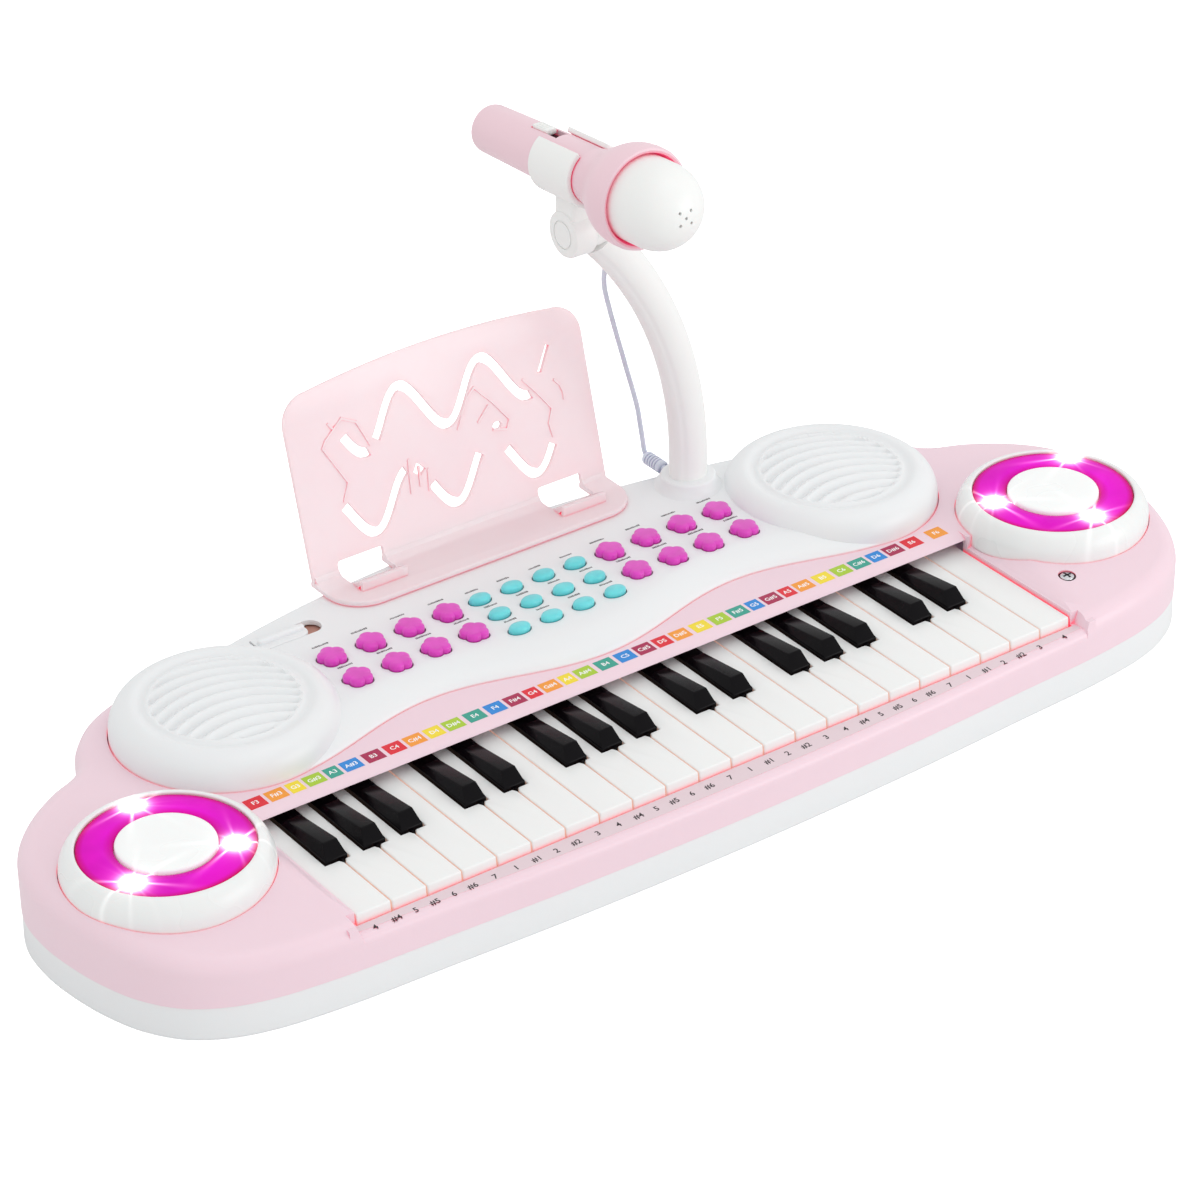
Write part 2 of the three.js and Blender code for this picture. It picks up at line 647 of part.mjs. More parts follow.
function musicStand() {
  const w = STAND_HALF;
  const r = 19;
  const shape = new THREE.Shape();
  shape.moveTo(-w, TRAY_BACK_Y);
  shape.lineTo(-w, TRAY_FRONT_Y + r);
  shape.absarc(-w + r, TRAY_FRONT_Y + r, r, Math.PI, 1.5 * Math.PI);
  shape.absarc(w - r, TRAY_FRONT_Y + r, r, 1.5 * Math.PI, 2 * Math.PI);
  shape.lineTo(w, TRAY_BACK_Y);
  const depth = TRAY_TOP - PANEL_TOP - FIT;
  const geometry = new THREE.ExtrudeGeometry(shape, { depth, bevelEnabled: false, curveSegments: 6 });
  geometry.translate(STAND_X, 0, PANEL_TOP + FIT);
  const places = [STAND_X - TAB_X, STAND_X + TAB_X];
  const windows = places.map((x) => box(
    x - WINDOW_HALF, x + WINDOW_HALF, 198.5, TRAY_BACK_Y + 8, 50, TRAY_TOP + 5));
  return join(
    cut(join(solid(geometry), standSheet()), ...windows),
    ...places.map((x) => standHook(x)),
  );
}

// ---------------------------------------------------------------- microphone

// Arc of the arm, from the socket up and in towards the middle.
class ArmLine extends THREE.Curve {
  getPoint(t, target = new THREE.Vector3()) {
    const angle = THREE.MathUtils.degToRad(ARM_SWEEP) * t;
    const x = ARM_X - ARM_BEND_R * (1 - Math.cos(angle));
    return target.set(x, ARM_Y, ARM_START_Z + ARM_BEND_R * Math.sin(angle));
  }
}

function micArm() {
  const section = new THREE.Shape(oval(0, 0, ARM_HALF[1], ARM_HALF[0], 12)
    .map(([x, y]) => new THREE.Vector2(x, y)));
  const extrudePath = new ArmLine();
  const tube = new THREE.ExtrudeGeometry(section, { steps: 10, extrudePath, bevelEnabled: false });
  return join(
    solid(tube),
    prism(oval(ARM_X, ARM_Y, ...ARM_HALF, 12), 30, ARM_START_Z + 1),
    barX(MIC_X + 5.6, MIC_X + 19, ARM_Y, PIVOT_Z, 9.5, 16),
  );
}

// From the plug up behind the arm, to the hole where the cable goes into the arm's back.
class CableLine extends THREE.CatmullRomCurve3 {
  constructor() {
    super([
      [JACK.x, 210, JACK.z + 0.4], [JACK.x, 212.6, 61], [109.6, 213, 68], [105.7, 212, 86.4],
      [95.4, 208, 116], [80.5, 200.5, 151.6], [69.8, 196.3, 174.6], [66.6, 195.2, 186], [68.5, 194.5, 197],
    ].map((p) => new THREE.Vector3(...p)));
  }
}

function micCable() {
  const section = new THREE.Shape(oval(0, 0, 1.6, 1.6, 6).map(([x, y]) => new THREE.Vector2(x, y)));
  const extrudePath = new CableLine();
  const tube = new THREE.ExtrudeGeometry(section, { steps: 18, extrudePath, bevelEnabled: false });
  return join(
    solid(tube),
    barY(JACK.x, JACK.y + 0.3, 212, JACK.z, 3.4, 12),
    barY(JACK.x, JACK.y - 4.4, JACK.y + 1, JACK.z, 1.7, 8),
  );
}

// Places a piece made about the Z axis, nose up, along the microphone's axis at the clip.
function onMicAxis(body) {
  return body.rotate([90 - MIC_TILT, 0, 0]).translate([MIC_X, ARM_Y, PIVOT_Z + MIC_AXIS_RISE]);
}

function micClip() {
  const [inner, outer] = [13, 15.6];
  const band = cut(
    turned([[inner, -CLIP_HALF], [outer, -CLIP_HALF], [outer, CLIP_HALF], [inner, CLIP_HALF],
      [inner, -CLIP_HALF]], 24),
    box(-inner * 0.72, inner * 0.72, 4, 40, -20, 20),
  );
  const stemTop = PIVOT_Z + MIC_AXIS_RISE - 14;
  return join(
    onMicAxis(band),
    box(MIC_X - 6, MIC_X + 5, ARM_Y - 8, ARM_Y + 8, PIVOT_Z + 6, stemTop),
    barX(MIC_X - 7, MIC_X + 5.2, ARM_Y, PIVOT_Z, KNOB_R, 24),
  );
}

// Profiles below run along the microphone's axis, measured from the middle of the clip.
function micBody() {
  const [back, front] = HANDLE_R;
  const shell = turned([
    [0, -HANDLE_BACK], [back - 2, -HANDLE_BACK], [back, -HANDLE_BACK + 2], [HANDLE_AT_CLIP, -CLIP_HALF],
    [HANDLE_AT_CLIP, CLIP_HALF + 0.6], [front, CLIP_HALF + 1], [front + 0.9, 20], [17.3, 27.5],
    [21.8, 36], [COLLAR_R - 0.4, 42], [COLLAR_R, 47], [COLLAR_R - 0.4, RIM_AT], [HEAD_R + 0.4, RIM_AT],
    [HEAD_R + 0.4, 42], [15.4, 33], [10, 22], [10, -HANDLE_BACK + 2.4], [0, -HANDLE_BACK + 2.4],
  ], 24);
  return onMicAxis(cut(shell, box(-3.4, 3.4, 9.5, 16, ...SWITCH_SLOT)));
}

function micHead() {
  const profile = [[0, 40], [14, 40], [HEAD_R, 44], [HEAD_R, HEAD_CENTRE]];
  for (let k = 1; k < 5; k += 1) {
    const a = (k / 5) * (Math.PI / 2);
    profile.push([HEAD_R * Math.cos(a), HEAD_CENTRE + HEAD_R * Math.sin(a)]);
  }
  return onMicAxis(turned([...profile, [0, HEAD_CENTRE + HEAD_R]], 24));
}

function micSwitch() {
  return onMicAxis(box(-2.9, 2.9, 10.6, 14.6, SWITCH_SLOT[0] + 0.6, SWITCH_SLOT[0] + 12));
}

// ---------------------------------------------------------------- assembly

const group = new THREE.Group();
group.name = 'toy_keyboard';

group.add(
  node('bottom_case', bottomCase(), WHITE),
  node('top_case', topCase(), PINK),
  node('control_panel', controlPanel(), WHITE),
  node('battery_cover', batteryCover(), WHITE),
  node('main_board', mainBoard(), BOARD),
  node('flower_button_mat', flowerMat(), FLOWER_RUBBER),
  node('instrument_button_mat', instrumentMat(), TEAL_RUBBER),
  node('power_slider', powerSlider(), WHITE),
  node('music_stand', musicStand(), CLEAR_PINK),
  node('mic_arm', micArm(), WHITE),
  node('mic_cable', micCable(), CABLE),
  node('mic_clip', micClip(), WHITE),
  node('mic_body', micBody(), PINK),
  node('mic_head', micHead(), WHITE),
  node('mic_switch', micSwitch(), WHITE),
);

for (const [name, side] of [['left', -1], ['right', 1]]) {
  group.add(
    node(`${name}_speaker`, speaker(side), STEEL),
    node(`${name}_drum_rim`, drumRim(side), WHITE),
    node(`${name}_drum_lens`, drumLens(side), MAGENTA),
    node(`${name}_drum_pad`, drumPad(side), WHITE),
  );
}

for (let i = 0; i < WHITE_COUNT; i += 1) {
  group.add(node(`white_key_${i + 1}`, whiteKey(i), IVORY));
}

for (let i = 0; i < BLACK_CENTRES.length; i += 1) {
  group.add(node(`black_key_${i + 1}`, blackKey(i), BLACK));
}

export default group;
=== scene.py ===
"""A children's electronic keyboard: the visible pieces and finishes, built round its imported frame.

Lengths are in millimetres until a mesh is made. X runs to the player's right, Y to the back, Z up.
"""

import json
import math
import random

import bmesh
import bpy
from mathutils import Matrix, Vector
from mathutils.geometry import delaunay_2d_cdt


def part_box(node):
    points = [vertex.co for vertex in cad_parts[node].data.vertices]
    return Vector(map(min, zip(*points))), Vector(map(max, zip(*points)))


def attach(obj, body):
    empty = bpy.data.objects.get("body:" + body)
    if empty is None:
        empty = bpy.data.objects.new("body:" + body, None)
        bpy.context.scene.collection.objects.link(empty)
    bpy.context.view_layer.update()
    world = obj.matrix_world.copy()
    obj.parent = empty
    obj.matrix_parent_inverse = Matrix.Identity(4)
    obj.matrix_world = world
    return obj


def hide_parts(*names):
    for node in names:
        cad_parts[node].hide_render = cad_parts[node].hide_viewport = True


MM = 0.001
TAU = 2 * math.pi
random.seed(7)

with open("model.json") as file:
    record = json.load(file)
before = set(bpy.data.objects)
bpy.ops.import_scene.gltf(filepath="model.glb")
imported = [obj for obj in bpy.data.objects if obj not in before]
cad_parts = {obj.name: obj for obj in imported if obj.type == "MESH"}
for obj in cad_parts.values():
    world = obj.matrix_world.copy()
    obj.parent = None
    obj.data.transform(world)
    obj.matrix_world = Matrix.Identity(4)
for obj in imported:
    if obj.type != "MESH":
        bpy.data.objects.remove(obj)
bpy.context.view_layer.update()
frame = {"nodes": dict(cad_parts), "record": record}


# ------------------------------------------------------------ places, taken from the frame

def span(node):
    """Lowest and highest corner of a CAD node, in millimetres."""
    low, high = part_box(node)
    return Vector(low) / MM, Vector(high) / MM


def middle(node):
    low, high = span(node)
    return (low + high) / 2


WHITE_KEYS = [n for n in frame["nodes"] if n.startswith("white_key_")]
BLACK_KEYS = [n for n in frame["nodes"] if n.startswith("black_key_")]
WHITE_KEYS.sort(key=lambda n: middle(n).x)
BLACK_KEYS.sort(key=lambda n: middle(n).x)

PITCH = middle(WHITE_KEYS[1]).x - middle(WHITE_KEYS[0]).x
KEY_TOP = span(WHITE_KEYS[0])[1].z
KEY_FOOT = span(WHITE_KEYS[0])[0].z
KEYS_LEFT = -PITCH * len(WHITE_KEYS) / 2
KEYBED_HALF = 0.6 - KEYS_LEFT
BLACK_FRONT = span(BLACK_KEYS[0])[0].y
BLACK_SPANS = [(span(n)[0].x, span(n)[1].x) for n in BLACK_KEYS]
KEY_GAP = 0.65

PARTING = span("top_case")[0].z
CASE_TOP = 45.9
STRIP_Z = KEY_TOP - 4.4
RAIL_Y = 73.8
DRUM = middle("right_drum_lens")
DRUM_R = 46.3
DOME = middle("right_speaker")
DOME_R = span("control_panel")[1].x - DOME.x
PANEL_TOP = 54
PANEL_SKIRT = 41.6
PAD_TOP = span("right_drum_pad")[1].z
LENS_R = span("right_drum_lens")[1].x - DRUM.x
PAD_R = 21.9
ARM_HALF = (9.6, 8.6)
ARM_X = span("mic_arm")[1].x - ARM_HALF[0]
ARM_Y = 183.6


# ------------------------------------------------------------ mesh helpers

def mesh_object(name, verts, faces):
    """A shaded mesh object from points in millimetres."""
    mesh = bpy.data.meshes.new(name)
    mesh.from_pydata([Vector(v) * MM for v in verts], [], faces)
    mesh.update()
    obj = bpy.data.objects.new(name, mesh)
    bpy.context.collection.objects.link(obj)
    shade(obj)
    return obj


def shade(obj, sharp=32):
    obj.data.shade_smooth()
    for face in obj.data.polygons:
        face.use_smooth = face.normal.z > -0.9999
    obj.data.set_sharp_from_angle(angle=math.radians(sharp))


def bake(obj, sharp=32):
    """Turns the modifiers of obj into plain mesh."""
    bpy.context.view_layer.update()
    graph = bpy.context.evaluated_depsgraph_get()
    mesh = bpy.data.meshes.new_from_object(obj.evaluated_get(graph))
    obj.modifiers.clear()
    old = obj.data
    obj.data = mesh
    bpy.data.meshes.remove(old)
    shade(obj, sharp)
    return obj


def combine(obj, operation, *tools, sharp=32):
    for tool in tools:
        modifier = obj.modifiers.new("combine", "BOOLEAN")
        modifier.operation = operation
        modifier.solver = "MANIFOLD"
        modifier.object = tool
    bake(obj, sharp)
    for tool in tools:
        bpy.data.objects.remove(tool)
    return obj


def cut(obj, *tools, sharp=32):
    return combine(obj, "DIFFERENCE", *tools, sharp=sharp)


def join(obj, *others, sharp=32):
    return combine(obj, "UNION", *others, sharp=sharp)


def rounded(obj, width, segments=3, angle=30, sharp=40):
    modifier = obj.modifiers.new("rounding", "BEVEL")
    modifier.width = width * MM
    modifier.segments = segments
    modifier.limit_method = "ANGLE"
    modifier.angle_limit = math.radians(angle)
    return bake(obj, sharp)


def gather(name, pieces):
    """One object from several, which it takes the place of."""
    verts = []
    faces = []
    for piece in pieces:
        start = len(verts)
        verts += [piece.matrix_world @ v.co / MM for v in piece.data.vertices]
        faces += [[start + i for i in face.vertices] for face in piece.data.polygons]
        bpy.data.objects.remove(piece)
    return mesh_object(name, verts, faces)


def rings_faces(count, rings):
    faces = []
    for r in range(rings - 1):
        for i in range(count):
            a = r * count + i
            b = r * count + (i + 1) % count
            faces.append((a, b, b + count, a + count))
    return faces


def loft(name, rings):
    """Closed solid through rings of the same number of points, each counter-clockwise from above."""
    count = len(rings[0])
    verts = [p for ring in rings for p in ring]
    faces = rings_faces(count, len(rings))
    faces.append(tuple(reversed(range(count))))
    faces.append(tuple(len(verts) - count + i for i in range(count)))
    return mesh_object(name, verts, faces)


def inside(x, y, ring):
    hit = False
    for i, (x1, y1) in enumerate(ring):
        x0, y0 = ring[i - 1]
        if (y0 > y) != (y1 > y) and x < x0 + (y - y0) / (y1 - y0) * (x1 - x0):
            hit = not hit
    return hit


def domed(name, rings, height, spacing, region=None):
    """Like loft, with its top filled by a fine net whose height is a function of x and y."""
    count = len(rings[0])
    verts = [tuple(p) for ring in rings for p in ring]
    faces = rings_faces(count, len(rings))
    faces.append(tuple(reversed(range(count))))
    edge = [(p[0], p[1]) for p in rings[-1]]
    low = [min(p[k] for p in edge) for k in (0, 1)]
    high = [max(p[k] for p in edge) for k in (0, 1)]
    points = [Vector(p) for p in edge]
    steps = [int((high[k] - low[k]) / spacing) for k in (0, 1)]
    for i in range(1, steps[0]):
        for j in range(1, steps[1]):
            x = low[0] + i * spacing
            y = low[1] + (j + 0.5 * (i % 2)) * spacing
            if region and not region(x, y):
                continue
            near = spacing * 0.6
            if all(inside(x + dx, y + dy, edge) for dx, dy in ((-near, 0), (near, 0), (0, -near), (0, near))):
                points.append(Vector((x, y)))
    border = [(i, (i + 1) % count) for i in range(count)]
    net = delaunay_2d_cdt(points, border, [], 1, 1e-6)
    start = len(verts) - count
    index = {}
    for new, sources in enumerate(net[3]):
        source = sources[0]
        if source < count:
            index[new] = start + source
        else:
            x, y = net[0][new]
            index[new] = len(verts)
            verts.append((x, y, height(x, y)))
    faces += [tuple(index[i] for i in face) for face in net[2]]
    return mesh_object(name, verts, faces)


def ellipse(x, y, half_x, half_y, count=64):
    return [(x + half_x * math.cos(TAU * i / count), y + half_y * math.sin(TAU * i / count))
            for i in range(count)]


def circle(x, y, radius, count=96):
    return ellipse(x, y, radius, radius, count)


def at(points, z):
    return [(x, y, z) for x, y in points]


def turned(name, profile, place=(0, 0, 0), count=96, matrix=None):
    """Turned solid about Z from a profile of (radius, height) points, bottom to top on the axis."""
    verts = []
    faces = []
    rows = []
    for radius, height in profile:
        if radius < 1e-6:
            rows.append([len(verts)] * count)
            verts.append((0, 0, height))
        else:
            rows.append(list(range(len(verts), len(verts) + count)))
            verts += at(circle(0, 0, radius, count), height)
    pairs = list(zip(rows, rows[1:]))
    if profile[0][0] > 1e-6:
        pairs.append((rows[-1], rows[0]))
    for low, high in pairs:
        for i in range(count):
            j = (i + 1) % count
            face = []
            for k in (low[i], low[j], high[j], high[i]):
                if k not in face:
                    face.append(k)
            if len(face) > 2:
                faces.append(tuple(face))
    matrix = matrix or Matrix.Identity(4)
    verts = [matrix @ Vector(v) + Vector(place) for v in verts]
    return mesh_object(name, verts, faces)


def prism(name, outline, z0, z1):
    return loft(name, [at(outline, z0), at(outline, z1)])


def block(name, low, high):
    (x0, y0, z0), (x1, y1, z1) = low, high
    return prism(name, [(x0, y0), (x1, y0), (x1, y1), (x0, y1)], z0, z1)


def bar_x(name, profile, x0, x1):
    """Solid along X over a profile of (y, z) points, counter-clockwise seen from +X."""
    return loft_open(name, [[(x, y, z) for y, z in profile] for x in (x0, x1)])


def loft_open(name, rings):
    """Closed solid through rings in any direction; the normals are made to point outwards."""
    obj = loft(name, rings)
    work = bmesh.new()
    work.from_mesh(obj.data)
    bmesh.ops.recalc_face_normals(work, faces=work.faces)
    work.to_mesh(obj.data)
    work.free()
    return obj


def fillet(points, radii, steps=5):
    """The corners of an outline replaced by arcs; radii is one number or one per corner."""
    count = len(points)
    if not isinstance(radii, (list, tuple)):
        radii = [radii] * count
    result = []
    for i, corner in enumerate(points):
        radius = radii[i]
        if radius == 0:
            result.append(tuple(corner))
            continue
        here = Vector(corner)
        back = (Vector(points[i - 1]) - here).normalized()
        ahead = (Vector(points[(i + 1) % count]) - here).normalized()
        half = back.angle(ahead) / 2
        reach = radius / math.tan(half)
        centre = here + (back + ahead).normalized() * radius / math.sin(half)
        start = here + back * reach - centre
        end = here + ahead * reach - centre
        turn = start.angle_signed(end)
        for k in range(steps + 1):
            swing = -turn * k / steps
            c, s = math.cos(swing), math.sin(swing)
            result.append((centre.x + start.x * c - start.y * s, centre.y + start.x * s + start.y * c))
    return result


def smooth_curve(points, steps, closed=False):
    """Centripetal Catmull-Rom curve through points of any dimension."""
    points = [Vector(p) for p in points]
    count = len(points)
    result = []
    for i in range(count if closed else count - 1):
        if closed:
            p0, p1, p2, p3 = (points[(i + k) % count] for k in (-1, 0, 1, 2))
        else:
            p1, p2 = points[i], points[i + 1]
            p0 = points[i - 1] if i else p1 * 2 - p2
            p3 = points[i + 2] if i + 2 < count else p2 * 2 - p1
        gaps = [max(1e-4, (b - a).length ** 0.5) for a, b in ((p0, p1), (p1, p2), (p2, p3))]
        slope1 = ((p1 - p0) / gaps[0] - (p2 - p0) / (gaps[0] + gaps[1]) + (p2 - p1) / gaps[1]) * gaps[1]
        slope2 = ((p2 - p1) / gaps[1] - (p3 - p1) / (gaps[1] + gaps[2]) + (p3 - p2) / gaps[2]) * gaps[1]
        for k in range(steps):
            t = k / steps
            result.append(p1 * (2 * t**3 - 3 * t**2 + 1) + slope1 * (t**3 - 2 * t**2 + t)
                          + p2 * (3 * t**2 - 2 * t**3) + slope2 * (t**3 - t**2))
    if not closed:
        result.append(points[-1])
    return result


def smooth_outline(points, steps, closed=False):
    return [(p.x, p.y) for p in smooth_curve(points, steps, closed)]


def sweep(name, path, section):
    """Tube along a path; section holds the (side, up) points of its cross-section."""
    rings = []
    for i, point in enumerate(path):
        ahead = path[min(i + 1, len(path) - 1)] - path[max(i - 1, 0)]
        ahead.normalize()
        side = Vector((0, 1, 0)).cross(ahead).normalized()
        top = ahead.cross(side)
        rings.append([point + side * a + top * b for a, b in section])
    return loft_open(name, rings)


# ------------------------------------------------------------ materials

def linear(text):
    """Scene colour of an sRGB hex code."""
    values = [int(text[i:i + 2], 16) / 255 for i in (0, 2, 4)]
    return tuple(v / 12.92 if v <= 0.04045 else ((v + 0.055) / 1.055) ** 2.4 for v in values) + (1,)


class Finish:
    """A material and short ways to wire its nodes."""

    def __init__(self, name):
        self.material = bpy.data.materials.new(name)
        self.material.use_nodes = True
        self.tree = self.material.node_tree
        self.bsdf = self.tree.nodes["Principled BSDF"]
        self.place = self.add("ShaderNodeTexCoord").outputs["Object"]

    def add(self, kind, settings=None, **inputs):
        node = self.tree.nodes.new(kind)
        for key, value in (settings or {}).items():
            setattr(node, key, value)
        for key, value in inputs.items():
            self.give(node.inputs[key.replace("_", " ")], value)
        return node

    def give(self, socket, value):
        if isinstance(value, bpy.types.NodeSocket):
            self.tree.links.new(value, socket)
        else:
            socket.default_value = value

    def set(self, **inputs):
        for key, value in inputs.items():
            self.give(self.bsdf.inputs[key.replace("_", " ")], value)

    def noise(self, scale, detail=2.0):
        node = self.add("ShaderNodeTexNoise", Vector=self.place, Scale=scale, Detail=detail)
        return node.outputs["Fac"]

    def openness(self, reach):
        """1 in the open and 0 deep in a hollow, looking as far as reach."""
        node = self.add("ShaderNodeAmbientOcclusion", {"samples": 6}, Distance=reach * MM)
        return node.outputs["AO"]

    def beside(self, x, y):
        """Offsets of the shaded place from a point seen from above, and its squared distance."""
        split = self.add("ShaderNodeSeparateXYZ", Vector=self.place).outputs
        dx = self.math("SUBTRACT", split["X"], x * MM)
        dy = self.math("SUBTRACT", split["Y"], y * MM)
        square = self.math("ADD", self.math("MULTIPLY", dx, dx), self.math("MULTIPLY", dy, dy))
        return dx, dy, square

    def math(self, operation, a, b=0.0, c=0.0):
        node = self.add("ShaderNodeMath", {"operation": operation})
        for socket, value in zip(node.inputs, (a, b, c)):
            self.give(socket, value)
        return node.outputs[0]

    def mix(self, factor, a, b):
        node = self.add("ShaderNodeMix", {"data_type": "RGBA"})
        factor_socket, colour_a, colour_b, result = 0, 6, 7, 2
        self.give(node.inputs[factor_socket], factor)
        self.give(node.inputs[colour_a], a)
        self.give(node.inputs[colour_b], b)
        return node.outputs[result]

    def range(self, value, low, high, out_low=0.0, out_high=1.0):
        node = self.add("ShaderNodeMapRange", {"interpolation_type": "SMOOTHSTEP"})
        for socket, number in zip(node.inputs, (value, low, high, out_low, out_high)):
            self.give(socket, number)
        return node.outputs[0]

    def bump(self, height, strength, distance):
        node = self.add("ShaderNodeBump", Height=height, Strength=strength, Distance=distance * MM)
        self.set(Normal=node.outputs[0])


def plastic(name, colour, rough=0.35, mottle=0.02, peel=0.05, crevice_glow=None, coat=0.0, soft=0.0, spec=0.5):
    """Moulded plastic: faint mottling, uneven gloss, a fine moulded grain and, if asked, a painted glow of
    bounced light in its hollows.
    """
    finish = Finish(name)
    base = linear(colour)
    darker = tuple(v * (1 - 3 * mottle) for v in base[:3]) + (1,)
    tone = finish.mix(finish.range(finish.noise(14, 3), 0.1, 0.9), darker, base)
    if crevice_glow:
        # Painted light: hollows take the glow tint as colour and emit it, as light bounced out of them would
        # look.
        glow_tint, reach, low, high, glow = crevice_glow
        depth = finish.range(finish.openness(reach), low, high)
        tone = finish.mix(depth, linear(glow_tint), tone)
        finish.set(Emission_Color=linear(glow_tint))
        finish.set(Emission_Strength=finish.math("MULTIPLY_ADD", depth, -glow, glow))
    finish.set(Base_Color=tone, Coat_Weight=coat, Coat_Roughness=0.08)
    gloss = finish.range(finish.noise(25, 2), 0.0, 1.0, rough - 0.03, rough + 0.03)
    finish.set(Roughness=gloss, IOR=1.48, Specular_IOR_Level=spec)
    if soft:
        finish.set(Subsurface_Weight=soft, Subsurface_Radius=(1.0, 0.75, 0.7), Subsurface_Scale=2.5 * MM)
    finish.bump(finish.noise(350, 2), peel, 0.05)
    return finish


LED_PLACES = {-1: ((33.5, 84), (29.5, -36), (30.5, -148)), 1: ((34.5, 36), (30.5, 163), (29, -91))}

# Tint of the light that comes back out of a hollow, its reach, where it starts and ends, and its strength.
RED_GAP_GLOW = ("F0325C", 3.5, 0.1, 0.7, 0.5)
STRIP_GAP_GLOW = ("F0325C", 2.5, 0.1, 0.6, 0.4)
WARM_GAP_GLOW = ("D9AE98", 1.6, 0.05, 0.6, 0.45)
MIC_GAP_GLOW = ("F04A78", 6, 0.1, 0.8, 0.25)


def led_light(finish, side):
    """Brightness of a drum's three lamps at a point: a white core, a halo and thin rays."""
    total = 0.0
    for radius, angle in LED_PLACES[side]:
        x = side * DRUM.x + radius * math.cos(math.radians(angle))
        y = DRUM.y + radius * math.sin(math.radians(angle))
        dx, dy, square = finish.beside(x, y)
        away = finish.math("SQRT", square)
        core = finish.math("EXPONENT", finish.math("MULTIPLY", square, -1 / (5.2 * MM) ** 2))
        around = finish.math("ARCTAN2", dy, dx)
        star, odd = (
            finish.math("ABSOLUTE", finish.math("COSINE", finish.math("MULTIPLY_ADD", around, rays, start)))
            for rays, start in ((4, angle), (7, 1.3 * angle)))
        ray = finish.math("MULTIPLY", finish.math("POWER", star, 10), finish.math("POWER", odd, 4))
        fade = finish.math("EXPONENT", finish.math("MULTIPLY", away, -1 / (4.6 * MM)))
        beam = finish.math("EXPONENT", finish.math("MULTIPLY", away, -1 / (9 * MM)))
        lamp = finish.math("ADD", finish.math("MULTIPLY", fade, 1.5), finish.math("MULTIPLY", core, 2.2))
        lamp = finish.math("MULTIPLY_ADD", finish.math("MULTIPLY", beam, ray), 2.2, lamp)
        total = finish.math("ADD", total, lamp)
    return total


def lit_plastic(side, base=0.0):
    """White plastic beside the lamps, with their light painted on it as a glow, and an even painted glow of
    strength base all over.
    """
    finish = plastic(f"drum_white_{side}_{base}", "EEF0EF", 0.28, 0.006, soft=0.15)
    # Painted light: the lamps' light and an even glow of strength base are laid on as emission.
    glow = finish.math("MULTIPLY_ADD", led_light(finish, side), 0.3, base)
    finish.set(Emission_Color=(1, 1, 1, 1), Emission_Strength=glow)
    return finish.material


def lens_plastic(side):
    """Clear magenta ring over the lamps, with a painted deep-red shade towards its inner and outer edges,
    beside the gaps to the pad and the rim.
    """
    finish = Finish(f"drum_lens_{side}")
    away = finish.math("SQRT", finish.beside(side * DRUM.x, DRUM.y)[2])
    share = finish.add("ShaderNodeMapRange", Value=away, From_Min=PAD_R * MM, From_Max=LENS_R * MM)
    # Painted shade: the ramp is deep red at both ends, by the gaps to the pad and the rim.
    ramp = finish.add("ShaderNodeValToRGB", Fac=share.outputs[0])
    stops = ramp.color_ramp.elements
    stops[0].color = linear("C4104E")
    stops[1].position = 1.0
    stops[1].color = linear("CC0C2E")
    for position, colour in ((0.1, "D80E9E"), (0.3, "E414CC"), (0.8, "E012C0"), (0.94, "D00E78")):
        stop = stops.new(position)
        stop.color = linear(colour)
    tone = ramp.outputs["Color"]
    uneven = finish.mix(finish.range(finish.noise(40, 2), 0.3, 0.7), linear("B808A0"), tone)
    tone = finish.mix(0.6, uneven, tone)
    lamps = led_light(finish, side)
    white = finish.math("MINIMUM", finish.math("MULTIPLY", lamps, 0.9), 1.0)
    finish.set(Base_Color=tone, Roughness=0.25, IOR=1.5, Specular_IOR_Level=0.04)
    finish.set(Emission_Color=finish.mix(white, tone, (1, 1, 1, 1)))
    finish.set(Emission_Strength=finish.math("MULTIPLY_ADD", lamps, 1.1, 0.12))
    finish.bump(finish.noise(160, 3), 0.15, 0.12)
    return finish.material


def clear_pink():
    """Smoky translucent pink sheet, painted pinker where it is seen edge-on, with a painted red glow of
    bounced light in its hollows.
    """
    finish = Finish("clear_pink")
    # Painted shading: the sheet turns pinker where it is seen edge-on.
    edge = finish.add("ShaderNodeLayerWeight", Blend=0.25).outputs["Facing"]
    cloud = finish.range(finish.noise(16, 3), 0.3, 0.7, 0.0, 0.5)
    tone = finish.mix(cloud, linear("FCF2F4"), linear("FAE9ED"))
    tone = finish.mix(finish.math("MULTIPLY", edge, 0.5), tone, linear("F6D0DA"))
    # Painted light: hollows turn red and glow, as light bounced out of the pink plastic would look.
    depth = finish.range(finish.openness(3), 0.15, 0.7)
    finish.set(Base_Color=finish.mix(depth, linear("EE5C7E"), tone), Roughness=0.2, IOR=1.46)
    finish.set(Subsurface_Weight=0.3, Subsurface_Radius=(1.0, 0.7, 0.7), Subsurface_Scale=3 * MM, Alpha=0.8)
    glow = finish.math("MULTIPLY_ADD", depth, -0.35, 0.35)
    finish.set(Emission_Color=linear("F0325C"), Emission_Strength=glow)
    finish.bump(finish.noise(300, 2), 0.05, 0.05)
    return finish.material


